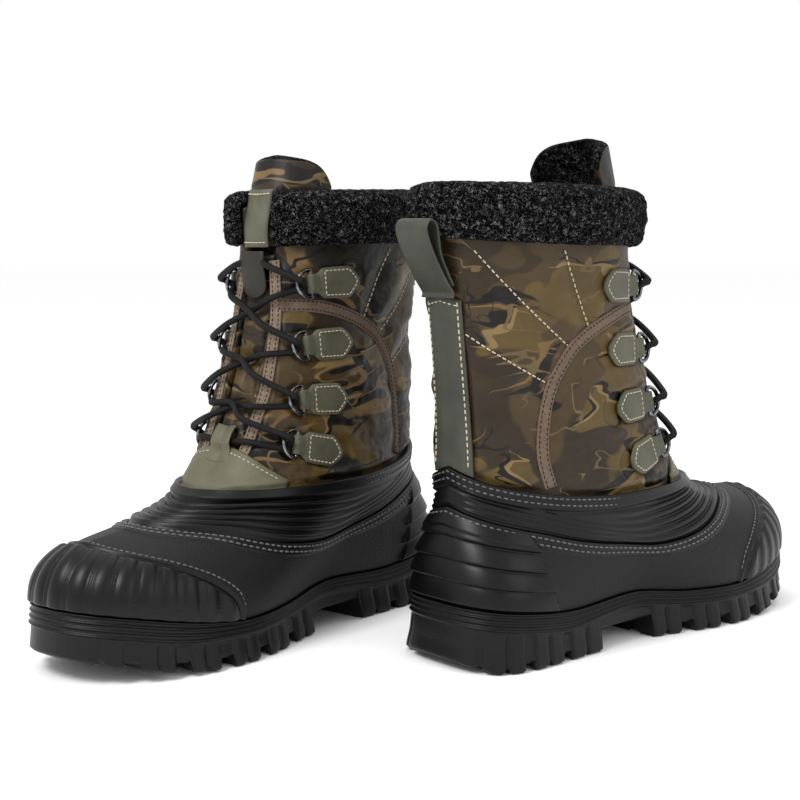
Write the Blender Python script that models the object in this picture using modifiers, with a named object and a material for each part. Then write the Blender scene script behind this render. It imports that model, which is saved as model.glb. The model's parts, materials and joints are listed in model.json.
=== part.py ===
"""A pair of insulated pac boots: rubber feet, laced padded shafts, fleece collars and lugged soles.

The scene is in metres. Each boot is drawn in its own frame in millimetres: X forward from the back of
the heel, Y towards the outer (lateral) side, Z up from the floor. The right boot is the left one
mirrored in Y. A station u is a place around the boot, in turns: 0 at the heel, 0.25 on the lateral
side, 0.5 at the front and 0.75 on the medial side. A height v runs from 0 at the foot of the rubber
shell or of the shaft to 1 at its top.
"""
import math

import bmesh
import bpy
import numpy as np
from mathutils import Vector

MM = 0.001

# Sole and rubber foot, mm
SOLE_LENGTH = 318.0
WIDTH_STATIONS = (0.0, 0.12, 0.4, 0.68, 0.85, 1.0)
LATERAL_HALF_WIDTH = (45.5, 45.5, 43.5, 60.0, 57.0, 52.0)
MEDIAL_HALF_WIDTH = (45.5, 45.5, 40.5, 55.0, 54.0, 50.0)
HEEL_ROUND, HEEL_POWER = 0.16, 2.9
TOE_ROUND, TOE_POWER = 0.27, 2.3
TOE_INSET = 7.0
WELT_STATIONS = (0.0, 22.0, 75.0, 125.0, 175.0, 215.0, 243.0, 268.0, 290.0, 318.0)
WELT_HEIGHTS = (39.0, 36.0, 30.5, 32.5, 27.5, 26.5, 29.5, 34.0, 38.5, 43.5)
TOE_SPRING, TOE_LIFT_FROM = 15.0, 0.72
HEEL_BEVEL = 5.0
SOLE_FLARE = 3.5
SOLE_WALL = 5.0
SOLE_FLOOR = 18.0
RUBBER_THICKNESS = 3.0

# Cuff ring, where the rubber foot ends, and the top ring of the shaft, mm
CUFF_BACK, CUFF_FRONT, CUFF_HALF_WIDTH = 9.2, 204.6, 50.2
CUFF_HEIGHT_HEEL, CUFF_HEIGHT_SIDE, CUFF_HEIGHT_TOE = 120.2, 99.5, 95.6
TOP_BACK, TOP_FRONT, TOP_HALF_WIDTH = -1.0, 149.0, 48.3
BOOT_HEIGHT = 288.8
TOP_DROP = 4.2
RING_POWER = 0.9

# Layers of the shaft: depth below the outer surface, mm
SHAFT_INNER = -7.2
LINER_OUTER = -7.7
LINER_THICKNESS = 4.0
LINER_LIFT = 2.8
TONGUE_FACE, TONGUE_BACK = -0.8, -13.5
FLAP_FACE, FLAP_BACK = -13.0, -18.0
COLLAR_THICKNESS = 9.4
COLLAR_FOOT = 0.79
GAP = 0.35

# Stations shared by the layers, so that their facets stay parallel
AROUND = 30
SHAFT_ROWS = (0.0, 0.15, 0.3, 0.46, 0.62, 0.79, 0.955)
THROAT = 0.0405
HINGE_V = 0.808

# D-rings, their leather tabs and the lace, mm
RING_WIRE = 1.3
RING_HALF_HEIGHT = 9.1
RING_DEPTH = 11.0
RING_TILT = math.radians(15.0)
BAR_HEIGHT = 3.5
RING_BARS = ((0.350, 0.185), (0.3525, 0.338), (0.3625, 0.505), (0.3725, 0.690))
TAB_TIPS = ((0.2775, 0.121), (0.270, 0.317), (0.275, 0.497), (0.290, 0.688))
TAB_GAP, TAB_THICKNESS = 0.8, 2.4
TAB_OUTLINE = ((36.0, 2.4), (33.4, 6.6), (28.5, 10.2), (18.0, 10.3), (9.2, 9.9), (5.6, 6.3))
SLEEVE_ANGLES = (150, 105, 60, 15, -30, -75, -120)
SLEEVE_INNER, SLEEVE_OUTER, SLEEVE_HALF_HEIGHT = 1.75, 3.05, 6.3
LACE_RADIUS = 2.1
LACE_CROSSINGS = ((0.29, 0.352, 0.335), (0.43, 0.485, 0.49), (0.575, 0.628, 0.655))

# Outsole tread: grooves across the sole as (start, end, depth) along the foot, mm
TREAD_GROOVES = (
    (30.0, 37.0, 7.0), (62.0, 69.0, 7.0), (98.0, 146.0, 13.0), (168.0, 178.0, 10.0),
    (199.0, 209.0, 10.0), (230.0, 240.0, 10.0), (260.0, 269.0, 8.5), (288.0, 296.0, 5.0))

# Where each boot stands: heel-to-toe centre, turn about Z, which side is lateral, tongue height, mm
BOOTS = {
    "left": {"centre": (-125.8, -9.0), "yaw": 4.049, "mirror": 1.0, "tongue": 309.0},
    "right": {"centre": (119.0, 9.9), "yaw": 0.721, "mirror": -1.0, "tongue": 318.0},
}


# ---------------------------------------------------------------- shape of the boot

def eased(x, stations, values):
    """A smooth curve through the values, with no overshoot between stations."""
    steps = np.diff(stations)
    rise = np.diff(values) / steps
    slope = np.zeros(len(values))
    slope[0], slope[-1] = rise[0], rise[-1]
    for i in range(1, len(values) - 1):
        if rise[i - 1] * rise[i] > 0:
            slope[i] = 2 * rise[i - 1] * rise[i] / (rise[i - 1] + rise[i])
    i = min(int(np.searchsorted(stations, x, side="right")) - 1, len(steps) - 1)
    i = max(i, 0)
    f = (x - stations[i]) / steps[i]
    return hermite(values[i], values[i + 1], slope[i] * steps[i], slope[i + 1] * steps[i], f)


def hermite(start, end, leave, arrive, f):
    """Cubic between two points with the given leaving and arriving directions."""
    square, cube = f * f, f * f * f
    return ((2 * cube - 3 * square + 1) * start + (cube - 2 * square + f) * leave
            + (3 * square - 2 * cube) * end + (cube - square) * arrive)


def station(u):
    """Share of the way from heel to toe, and which side: 1 lateral, -1 medial."""
    u = u % 1.0
    return (2 * u, 1.0) if u <= 0.5 else (2 - 2 * u, -1.0)


def shares(t):
    """How much a station belongs to the heel, to the side and to the toe."""
    heel = max(1 - 2 * t, 0.0) ** 1.5
    toe = max(2 * t - 1, 0.0) ** 1.5
    return heel, 1 - heel - toe, toe


def sole_outline(u, inset=0.0):
    """The foot's outline at the welt, moved inwards by inset."""
    t, side = station(u)
    s = (1 - math.cos(math.pi * t)) / 2
    width = eased(s, WIDTH_STATIONS, LATERAL_HALF_WIDTH if side > 0 else MEDIAL_HALF_WIDTH)
    heel = max(1 - s / HEEL_ROUND, 0.0)
    toe = max(1 - (1 - s) / TOE_ROUND, 0.0)
    rounding = (1 - heel ** HEEL_POWER) ** (1 / HEEL_POWER) * (1 - toe ** TOE_POWER) ** (1 / TOE_POWER)
    half = SOLE_LENGTH / 2
    x = half + (s * SOLE_LENGTH - half) * (half - inset) / half
    return x, side * width * rounding * (55.0 - inset) / 55.0 - TOE_INSET * s * s


def welt_height(u):
    """Height of the line where the rubber foot meets the sole."""
    return eased(sole_outline(u)[0], WELT_STATIONS, WELT_HEIGHTS)


def oval(u, back, front, half_width):
    """A rounded ring between a back and a front point."""
    t, side = station(u)
    x = back + (front - back) * (1 - math.cos(math.pi * t)) / 2
    return x, side * half_width * math.sin(math.pi * t) ** RING_POWER


def cuff_edge(u):
    """The ring where the rubber foot meets the shaft."""
    heel, middle, toe = shares(station(u)[0])
    height = CUFF_HEIGHT_HEEL * heel + CUFF_HEIGHT_SIDE * middle + CUFF_HEIGHT_TOE * toe
    return np.array([*oval(u, CUFF_BACK, CUFF_FRONT, CUFF_HALF_WIDTH), height])


def rubber_point(u, v):
    """Outer surface of the rubber foot, from the welt to the cuff edge."""
    t, side = station(u)
    heel, middle, toe = shares(t)
    welt = np.array([*sole_outline(u), welt_height(u)])
    leave = np.array([-4.0 * heel, 24.7 * middle * side, 90 * heel + 70 * middle + 162 * toe])
    arrive = np.array([6 * heel - 25 * middle - 116 * toe, -12 * middle * side,
                       90 * heel + 80 * middle + 77 * toe])
    return hermite(welt, cuff_edge(u), leave, arrive, v)


def shaft_point(u, v):
    """Outer surface of the shaft, from the cuff edge to the top."""
    t, side = station(u)
    heel, middle, toe = shares(t)
    top = np.array([*oval(u, TOP_BACK, TOP_FRONT, TOP_HALF_WIDTH), BOOT_HEIGHT - TOP_DROP * t])
    leave = np.array([14.6 * heel - 20 * middle - 148 * toe, -37 * middle * side,
                      150 * heel + 120 * middle + 69 * toe])
    arrive = np.array([12 * heel + 38 * toe, 31 * middle * side, 150.0])
    return hermite(cuff_edge(u), top, leave, arrive, v)


def axes_at(surface, u, v):
    """Forward, upward and outward unit directions on a surface."""
    step = 0.004
    around = surface(u + step, v) - surface(u - step, v)
    upward = surface(u, v + step) - surface(u, v - step)
    outward = np.cross(upward, around)
    return (around / np.linalg.norm(around), upward / np.linalg.norm(upward),
            outward / np.linalg.norm(outward))


def raised(surface, u, v, height):
    """A point a given height above a surface; a negative height is inside it."""
    return surface(u, v) + axes_at(surface, u, v)[2] * height


def moved(surface, u, v, direction, distance):
    """The station and height reached by going a distance along a surface in a direction."""
    step = 0.004
    slopes = np.array([surface(u + step, v) - surface(u - step, v),
                       surface(u, v + step) - surface(u, v - step)]).T / (2 * step)
    shift = np.linalg.lstsq(slopes, direction * distance, rcond=None)[0]
    return u + shift[0], v + shift[1]


def seam_height(u):
    """Height, as a share of the rubber foot, of the stitched seam under the cuff."""
    t = station(u)[0]
    return eased(t, (0.0, 0.25, 0.5, 0.64, 0.8, 1.0), (0.72, 0.68, 0.51, 0.565, 0.645, 0.66))


# ---------------------------------------------------------------- meshes and objects

def clear_scene():
    for item in list(bpy.data.objects):
        bpy.data.objects.remove(item, do_unlink=True)


def new_collection(name):
    collection = bpy.data.collections.new(name)
    bpy.context.scene.collection.children.link(collection)
    return collection


def make_material(name, colour, roughness, metallic=0.0):
    material = bpy.data.materials.new(name)
    material.use_nodes = True
    shader = material.node_tree.nodes["Principled BSDF"]
    shader.inputs["Base Color"].default_value = (*colour, 1.0)
    shader.inputs["Roughness"].default_value = roughness
    shader.inputs["Metallic"].default_value = metallic
    return material


class Boot:
    """One boot: its parent empty, its side and the objects made for it."""

    def __init__(self, name, spec, parts, cutters, materials):
        self.name, self.spec = name, spec
        self.parts, self.cutters, self.materials = parts, cutters, materials
        self.frame = bpy.data.objects.new(f"{name}_boot_frame", None)
        self.frame.location = (spec["centre"][0] * MM, spec["centre"][1] * MM, 0.0)
        self.frame.rotation_euler = (0.0, 0.0, spec["yaw"])
        parts.objects.link(self.frame)

    def local(self, point):
        """A point of the boot's frame in metres, about the middle of the sole."""
        x, y, z = point
        return Vector(((x - SOLE_LENGTH / 2) * MM, y * self.spec["mirror"] * MM, z * MM))

    def add_mesh(self, name, bm, material, pivot=None):
        """Turn a closed bmesh in boot millimetres into an object with its origin on the pivot."""
        origin = self.local(pivot) if pivot is not None else Vector((0, 0, 0))
        for vertex in bm.verts:
            vertex.co = self.local(vertex.co) - origin
        bm.normal_update()
        bmesh.ops.recalc_face_normals(bm, faces=bm.faces)
        mesh = bpy.data.meshes.new(f"{self.name}_{name}")
        bm.to_mesh(mesh)
        bm.free()
        mesh.shade_smooth()
        mesh.set_sharp_from_angle(angle=math.radians(40))
        mesh.materials.append(self.materials[material])
        item = bpy.data.objects.new(f"{self.name}_{name}", mesh)
        item.parent = self.frame
        item.location = origin
        self.parts.objects.link(item)
        return item

    def add_cutter(self, name, bm):
        """A hidden helper solid for a Boolean."""
        helper = self.add_mesh(name, bm, "rubber")
        helper.hide_render = True
        helper.display_type = "WIRE"
        self.parts.objects.unlink(helper)
        self.cutters.objects.link(helper)
        return helper

    def add_tube(self, name, points, radius, material, closed=False, sides=1, pivot=None):
        """A round wire or cord along the points."""
        origin = self.local(pivot) if pivot is not None else Vector((0, 0, 0))
        curve = bpy.data.curves.new(f"{self.name}_{name}", "CURVE")
        curve.dimensions = "3D"
        curve.bevel_depth = radius * MM
        curve.bevel_resolution = sides
        curve.use_fill_caps = not closed
        spline = curve.splines.new("POLY")
        spline.points.add(len(points) - 1)
        for knot, point in zip(spline.points, points):
            knot.co = (*(self.local(point) - origin), 1.0)
        spline.use_cyclic_u = closed
        curve.materials.append(self.materials[material])
        item = bpy.data.objects.new(f"{self.name}_{name}", curve)
        item.parent = self.frame
        item.location = origin
        self.parts.objects.link(item)
        return item


def shell(outer, inner, closed, floor=False):
    """A wall between matching outer and inner rows of points, bottom row first.

    Closed walls run all the way round. An open wall gets end faces, and a wall with a floor is a cup
    whose columns are mirrored pairs across the boot's centre line.
    """
    bm = bmesh.new()
    skins = [[[bm.verts.new(p) for p in row] for row in rows] for rows in (outer, inner)]
    rows, columns = len(outer), len(outer[0])
    pairs = [(j, (j + 1) % columns) for j in range(columns if closed else columns - 1)]
    for skin in skins:
        for i in range(rows - 1):
            for a, b in pairs:
                bm.faces.new((skin[i][a], skin[i][b], skin[i + 1][b], skin[i + 1][a]))
    rims = [rows - 1] if floor else [0, rows - 1]
    for i in rims:
        for a, b in pairs:
            bm.faces.new((skins[0][i][a], skins[0][i][b], skins[1][i][b], skins[1][i][a]))
    if not closed:
        for j in (0, columns - 1):
            for i in range(rows - 1):
                bm.faces.new((skins[0][i][j], skins[0][i + 1][j], skins[1][i + 1][j], skins[1][i][j]))
    if floor:
        for skin in skins:
            fill_across(bm, skin[0])
    return bm


def fill_across(bm, ring):
    """Close a ring of mirrored columns with strips from side to side."""
    count = len(ring)
    for k in range(count // 2):
        corners = (ring[k], ring[k + 1], ring[(count - k - 1) % count], ring[(count - k) % count])
        bm.faces.new(list(dict.fromkeys(corners)))


def ribbon(stations, closed=False):
    """A solid strip through stations of four corner points."""
    bm = bmesh.new()
    rings = [[bm.verts.new(p) for p in corners] for corners in stations]
    links = list(zip(rings, rings[1:]))
    if closed:
        links.append((rings[-1], rings[0]))
    for a, b in links:
        for k in range(4):
            n = (k + 1) % 4
            bm.faces.new((a[k], a[n], b[n], b[k]))
    if not closed:
        bm.faces.new(rings[0])
        bm.faces.new(rings[-1])
    return bm


def full_turn(count=AROUND):
    return [k / count for k in range(count)]


def throat_span(edge, count=AROUND):
    """Stations from the medial throat edge, round the heel, to the lateral throat edge."""
    inside = [k / count for k in range(-count // 2 + 1, count // 2) if abs(k / count) < 0.5 - edge - 0.008]
    return [-0.5 + edge, *inside, 0.5 - edge]


# ---------------------------------------------------------------- sole and rubber foot

def sole_rise(x):
    """How far the tread has risen towards the toe and behind the heel."""
    toe = max((x / SOLE_LENGTH - TOE_LIFT_FROM) / (1 - TOE_LIFT_FROM), 0.0)
    heel = max(1 - x / 16.0, 0.0)
    return TOE_SPRING * toe ** 1.6 + HEEL_BEVEL * heel ** 1.5


def tread_cutter(boot):
    """Blocks that cut the tread grooves across the sole."""
    bm = bmesh.new()
    for start, end, depth in TREAD_GROOVES:
        for vertex in bmesh.ops.create_cube(bm, size=1.0)["verts"]:
            x = start if vertex.co.x < 0 else end
            z = -5.0 if vertex.co.z < 0 else depth + sole_rise(x)
            vertex.co = (x, 140.0 * vertex.co.y, z)
    return boot.add_cutter("tread_cutter", bm)


def combine(item, other, operation):
    """Cut another object from an item, or join it on."""
    modifier = item.modifiers.new(other.name, "BOOLEAN")
    modifier.operation = operation
    modifier.solver = "EXACT"
    modifier.object = other


def add_outsole(boot):
    """Tray-shaped sole: sidewall up to the welt, a flat floor inside and lugs below."""
    def tread_edge(u):
        x, y = sole_outline(u)
        half = SOLE_LENGTH / 2
        return (half + (x - half) * (1 + SOLE_FLARE / half), y * (1 + SOLE_FLARE / 55.0), sole_rise(x))

    turn = full_turn()
    outer = [[tread_edge(u) for u in turn], [(*sole_outline(u), welt_height(u) - GAP) for u in turn]]
    inner = [[(*sole_outline(u, SOLE_WALL), SOLE_FLOOR) for u in turn],
             [(*sole_outline(u, SOLE_WALL), welt_height(u) - GAP) for u in turn]]
    outsole = boot.add_mesh("outsole", shell(outer, inner, closed=True, floor=True), "rubber")
    combine(outsole, tread_cutter(boot), "DIFFERENCE")


def add_shank(boot):
    """Thin spring-steel plate that stiffens the arch, under the liner."""
    bm = bmesh.new()
    for vertex in bmesh.ops.create_cube(bm, size=1.0)["verts"]:
        x, y, z = vertex.co
        vertex.co = (125.0 + 110.0 * x, -2.0 + 24.0 * y, SOLE_FLOOR + GAP + 0.9 + 1.8 * z)
    shank = boot.add_mesh("shank", bm, "steel")
    bevel = shank.modifiers.new("rounded_ends", "BEVEL")
    bevel.width = 0.5 * MM
    bevel.segments = 1


def add_rubber_shell(boot):
    """Moulded rubber foot from the welt to the stitched seam."""
    turn = full_turn()
    rise = (0.0, 0.36, 0.7, 1.0)
    outer = [[rubber_point(u, f * seam_height(u)) for u in turn] for f in rise]
    inner = [[raised(rubber_point, u, f * seam_height(u), -RUBBER_THICKNESS) for u in turn] for f in rise]
    for low, high in zip(outer[0], inner[0]):
        high[2] = low[2]
    boot.add_mesh("rubber_shell", shell(outer, inner, closed=True), "rubber")


def add_shell_cuff(boot):
    """Flexible rubber cuff from the seam to the edge that grips the shaft."""
    turn = full_turn()
    outer, inner = [], []
    for f in (0.012, 0.34, 0.68, 1.0):
        lift = 2.0 * max(f - 0.5, 0.0) / 0.5
        heights = [seam_height(u) + f * (1 - seam_height(u)) for u in turn]
        outer.append([raised(rubber_point, u, v, lift) for u, v in zip(turn, heights)])
        inner.append([raised(rubber_point, u, v, lift * 1.2 - RUBBER_THICKNESS)
                      for u, v in zip(turn, heights)])
    boot.add_mesh("shell_cuff", shell(outer, inner, closed=True), "rubber")


# ---------------------------------------------------------------- shaft and its trim

def add_shaft(boot):
    """Padded nylon shaft, open down the front, with its foot tucked inside the rubber cuff."""
    turn = throat_span(THROAT)
    outer = [[raised(rubber_point, u, 0.87, -3.9) for u in turn],
             [raised(shaft_point, u, 0.0, -1.3) for u in turn]]
    inner = [[raised(rubber_point, u, 0.87, -8.0) for u in turn],
             [raised(shaft_point, u, 0.0, -7.7) for u in turn]]
    for v in SHAFT_ROWS[1:]:
        outer.append([shaft_point(u, v) for u in turn])
        inner.append([raised(shaft_point, u, v, SHAFT_INNER) for u in turn])
    boot.add_mesh("shaft", shell(outer, inner, closed=False), "camo")


def add_back_stay(boot):
    """Strap sewn up the back of the shaft."""
    turn = [k * 0.0145 for k in range(-3, 4)]
    rows = (0.05, 0.15, 0.3, 0.46, 0.6)
    outer = [[raised(shaft_point, u, v, 2.6) for u in turn] for v in rows]
    inner = [[raised(shaft_point, u, v, 0.6) for u in turn] for v in rows]
    boot.add_mesh("back_stay", shell(outer, inner, closed=False), "olive")


def add_heel_loop(boot):
    """Pull loop: a strap doubled over at the top, turning about its stitched foot."""
    middle = ((-2.2, 226.0), (-8.2, 234.0), (-16.4, 247.0), (-22.4, 259.0), (-22.6, 265.6),
              (-19.0, 268.4), (-14.9, 265.0), (-13.6, 257.0), (-12.0, 248.0), (-6.2, 237.5),
              (-2.0, 230.5))
    stations = []
    count = len(middle)
    for k, (x, z) in enumerate(middle):
        ahead, behind = middle[(k + 1) % count], middle[k - 1]
        run = np.array([ahead[0] - behind[0], ahead[1] - behind[1]])
        run /= np.linalg.norm(run)
        dx, dz = run[1] * 1.0, -run[0] * 1.0
        stations.append([(x + dx, -14.0, z + dz), (x + dx, 14.0, z + dz),
                         (x - dx, 14.0, z - dz), (x - dx, -14.0, z - dz)])
    boot.add_mesh("heel_loop", ribbon(stations, closed=True), "olive", pivot=(-2.2, 0.0, 226.0))


def patch_top(u):
    """Upper edge of the vamp patch: a low arch over the foot of the throat."""
    t = station(u)[0]
    return 0.035 + 0.165 * math.sin(math.pi / 2 * max((t - 0.715) / 0.285, 0.0))


def mirrored(half):
    """Stations across the front: the given lateral ones, the centre line and the medial ones."""
    return [*half, 0.5, *(1 - u for u in reversed(half))]


def add_vamp_patch(boot):
    """Leather patch over the foot of the throat; its tab bridges the lowest run of lace."""
    turn = mirrored((0.366, 0.39, 0.415, 0.44, 0.465))
    outer, inner = [], []
    for f in (0.0, 0.55, 1.0):
        heights = [0.035 + f * (patch_top(u) - 0.035) for u in turn]
        outer.append([raised(shaft_point, u, v, 2.7) for u, v in zip(turn, heights)])
        inner.append([raised(shaft_point, u, v, 0.9) for u, v in zip(turn, heights)])
    patch = boot.add_mesh("vamp_patch", shell(outer, inner, closed=False), "olive")

    turn = mirrored((0.4755, 0.488))
    outer, inner = [], []
    for v, low, high in ((0.165, 1.2, 2.3), (0.197, 1.3, 2.9), (0.212, 5.4, 7.0), (0.254, 5.7, 7.3),
                         (0.276, 4.6, 6.2)):
        outer.append([raised(shaft_point, u, v, high) for u in turn])
        inner.append([raised(shaft_point, u, v, low) for u in turn])
    tab = boot.add_cutter("lace_tab", shell(outer, inner, closed=False))
    combine(patch, tab, "UNION")


TONGUE_COLUMNS = ((0.428, False), (0.445, False), (0.4625, False), (0.467, True), (0.483, True))


def tongue_columns(wing=()):
    """Stations across the tongue, and whether each is on the ridge that fills the throat."""
    half = [*((u, False) for u in wing), *TONGUE_COLUMNS]
    return [*half, (0.5, True), *((1 - u, ridge) for u, ridge in reversed(half))]


def add_tongue(boot):
    """Padded tongue behind the laces, as far as the collar."""
    columns = tongue_columns()
    outer, inner = [], []
    for v in (0.06, 0.15, 0.3, 0.46, 0.62, HINGE_V - 0.012):
        outer.append([raised(shaft_point, u, v, TONGUE_FACE if ridge else -8.2) for u, ridge in columns])
        inner.append([raised(shaft_point, u, v, TONGUE_BACK) for u, ridge in columns])
    boot.add_mesh("tongue", shell(outer, inner, closed=False), "camo")


def flap_point(boot, u, f, depth):
    """A point of the tongue's free top: f runs from its bend to its rounded upper edge."""
    v = HINGE_V + (1.0 - HINGE_V) * min(f / 0.55, 1.0)
    point = raised(shaft_point, u, v, depth)
    over = max(f - 0.55, 0.0) / 0.45
    drop = 22.0 * (abs(u - 0.5) / 0.15) ** 2
    rise = over * (boot.spec["tongue"] - drop - point[2])
    return point + np.array([-0.3 * max(rise, 0.0), 0.0, rise])


def add_tongue_flap(boot):
    """The free top of the tongue, which bends back into the opening above the laces."""
    columns = tongue_columns(wing=(0.352, 0.374, 0.396, 0.414))
    outer, inner = [], []
    for f in (0.012, 0.28, 0.55, 0.8, 1.0):
        outer.append([flap_point(boot, u, f, TONGUE_FACE if ridge else FLAP_FACE) for u, ridge in columns])
        inner.append([flap_point(boot, u, f, FLAP_BACK) for u, ridge in columns])
    pivot = raised(shaft_point, 0.5, HINGE_V, -9.0)
    boot.add_mesh("tongue_flap", shell(outer, inner, closed=False), "camo", pivot=pivot)


def add_collar(boot):
    """Fleece roll round the top of the shaft, turned over its upper edge."""
    turn = throat_span(THROAT + 0.002)
    outer_shape = ((COLLAR_FOOT, 7.0), (0.84, COLLAR_THICKNESS), (0.95, COLLAR_THICKNESS),
                   (1.0, 5.6), (1.0, -7.0))
    inner_shape = ((COLLAR_FOOT, 0.5), (0.88, 0.9), (0.957, 0.8), (0.965, -4.0), (0.965, -11.9))
    outer = [[raised(shaft_point, u, v, depth) for u in turn] for v, depth in outer_shape]
    inner = [[raised(shaft_point, u, v, depth) for u in turn] for v, depth in inner_shape]
    boot.add_mesh("collar", shell(outer, inner, closed=False), "fleece")


# ---------------------------------------------------------------- inside the boot

def add_liner(boot):
    """Insulating sock liner: closed round the foot, open at the top and down the throat."""
    turn = full_turn()
    outer, inner = (
        [[(*sole_outline(u, 6.5 + wall), SOLE_FLOOR + LINER_LIFT + wall) for u in turn],
         [(*sole_outline(u, 6.0 + wall), welt_height(u) + 0.5) for u in turn]]
        for wall in (0.0, LINER_THICKNESS))
    levels = [(rubber_point, 0.25, -4.3), (rubber_point, 0.55, -4.3), (rubber_point, 0.862, -9.0),
              (shaft_point, 0.0, -9.0)]
    levels += [(shaft_point, v, LINER_OUTER) for v in SHAFT_ROWS[1:]]
    for surface, v, depth in levels:
        outer.append([raised(surface, u, v, depth) for u in turn])
        inner.append([raised(surface, u, v, depth - LINER_THICKNESS) for u in turn])
    liner = boot.add_mesh("liner", shell(outer, inner, closed=True, floor=True), "fleece")

    bm = bmesh.new()
    for vertex in bmesh.ops.create_cube(bm, size=1.0)["verts"]:
        x, y, z = vertex.co
        vertex.co = (175.0 + 130.0 * x, 42.0 * y, 195.0 + 222.0 * z)
    combine(liner, boot.add_cutter("throat_cutter", bm), "DIFFERENCE")


def add_footbed(boot):
    """Flat cushioned insole that lies loose in the liner."""
    turn = full_turn()
    base = SOLE_FLOOR + LINER_LIFT + LINER_THICKNESS + GAP
    outer = [[(*sole_outline(u, 12.5), z) for u in turn] for z in (base, base + 5.0)]
    bm = bmesh.new()
    skins = [[bm.verts.new(p) for p in row] for row in outer]
    for a in range(len(turn)):
        b = (a + 1) % len(turn)
        bm.faces.new((skins[0][a], skins[0][b], skins[1][b], skins[1][a]))
    for skin in skins:
        fill_across(bm, skin)
    boot.add_mesh("footbed", bm, "foam")


# ---------------------------------------------------------------- rings, tabs and lace

def ring_frame(number, side):
    """Bar centre of a D-ring, with its forward, upward and outward directions."""
    u, v = RING_BARS[number]
    tip_u, tip_v = TAB_TIPS[number]
    if side < 0:
        u, tip_u = 1 - u, 1 - tip_u
    base = shaft_point(u, v)
    outward = axes_at(shaft_point, u, v)[2]
    forward = base - shaft_point(tip_u, tip_v)
    forward -= outward * forward.dot(outward)
    forward /= np.linalg.norm(forward)
    upward = np.cross(forward, outward) * side
    return base + outward * BAR_HEIGHT, forward, upward, outward


def add_ring(boot, number, side, label):
    """Steel D-ring: a straight bar held in the tab, and a half-round bow."""
    centre, forward, upward, outward = ring_frame(number, side)
    bow = forward * math.cos(RING_TILT) + outward * math.sin(RING_TILT)
    points = []
    for angle in range(-90, 91, 30):
        a = math.radians(angle)
        points.append(centre + bow * RING_DEPTH * math.cos(a) + upward * RING_HALF_HEIGHT * math.sin(a))
    boot.add_tube(f"ring_{label}", points, RING_WIRE, "gunmetal", closed=True, pivot=centre)


def add_tab(boot, number, side, label):
    """Leather tab: a pointed plate on the shaft whose front end is folded round the ring's bar."""
    centre, forward, upward, outward = ring_frame(number, side)
    u, v = RING_BARS[number]
    tip_u, tip_v = TAB_TIPS[number]
    whole = np.linalg.norm(shaft_point(tip_u, tip_v) - shaft_point(u, v))
    stations = []
    for distance, half in TAB_OUTLINE:
        f = distance / whole
        place_u = u + (tip_u - u) * f
        place_v = v + (tip_v - v) * f
        if side < 0:
            place_u = 1 - place_u
        bottom = moved(shaft_point, place_u, place_v, upward, -half)
        top = moved(shaft_point, place_u, place_v, upward, half)
        stations.append([raised(shaft_point, *bottom, TAB_GAP), raised(shaft_point, *top, TAB_GAP),
                         raised(shaft_point, *top, TAB_GAP + TAB_THICKNESS),
                         raised(shaft_point, *bottom, TAB_GAP + TAB_THICKNESS)])
    for angle in SLEEVE_ANGLES:
        a = math.radians(angle)
        spoke = forward * math.cos(a) + outward * math.sin(a)
        near, far = centre + spoke * SLEEVE_INNER, centre + spoke * SLEEVE_OUTER
        edge = upward * SLEEVE_HALF_HEIGHT
        stations.append([near - edge, near + edge, far + edge, far - edge])
    boot.add_mesh(f"tab_{label}", ribbon(stations), "olive")


def ring_pass(number, side):
    """The lace's way through a ring: in under the bow, up through the ring and back over the bow."""
    centre, forward, upward, outward = ring_frame(number, side)
    tip = centre + forward * RING_DEPTH * math.cos(RING_TILT) + outward * RING_DEPTH * math.sin(RING_TILT)
    turn = ((0.5, -3.4, -4.4), (-3.6, -1.4, -2.9), (-4.4, 0.0, 0.0), (-3.6, 1.4, 2.9), (0.5, 3.4, 4.4))
    return [tip + forward * f + upward * b + outward * n for f, b, n in turn]


def lace_route():
    """One lace from end to end: criss-cross up the throat, with a straight run at the bottom."""
    def over(u, v, height):
        return raised(shaft_point, u, v, height)

    strands = []
    for start in (1, -1):
        side, strand = start, []
        for row in range(4):
            strand += ring_pass(row, side)
            if row == 3:
                break
            near, middle, far = LACE_CROSSINGS[row]
            on_top = (row % 2 == 0) == (start > 0)
            strand += [over(0.5 - side * 0.05, near, 9.4 if on_top else 8.0),
                       over(0.5, middle, 9.2 if on_top else 4.2),
                       over(0.5 + side * 0.055, far, 6.6)]
            side = -side
        strand += [over(0.5 - side * 0.046, 0.748, 8.0), over(0.5 - side * 0.018, 0.774, 4.4),
                   over(0.5 - side * 0.0105, 0.792, 4.0)]
        strands.append(strand)
    bottom = [over(u, v, height) for u, v, height in (
        (0.424, 0.213, 4.1), (0.454, 0.225, 3.7), (0.5, 0.233, 3.2), (0.546, 0.225, 3.7),
        (0.576, 0.213, 4.1))]
    return [*reversed(strands[0]), *bottom, *strands[1]]


def add_lace(boot):
    boot.add_tube("lace", lace_route(), LACE_RADIUS, "lace", sides=2)


def add_boot(name, spec, parts, cutters, materials):
    boot = Boot(name, spec, parts, cutters, materials)
    for build in (add_outsole, add_shank, add_rubber_shell, add_shell_cuff, add_shaft, add_back_stay,
                  add_heel_loop, add_vamp_patch, add_tongue, add_tongue_flap, add_collar, add_liner,
                  add_footbed, add_lace):
        build(boot)
    for side, word in ((1, "lateral"), (-1, "medial")):
        for number in range(4):
            label = f"{word}_{number + 1}"
            add_tab(boot, number, side, label)
            add_ring(boot, number, side, label)


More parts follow.
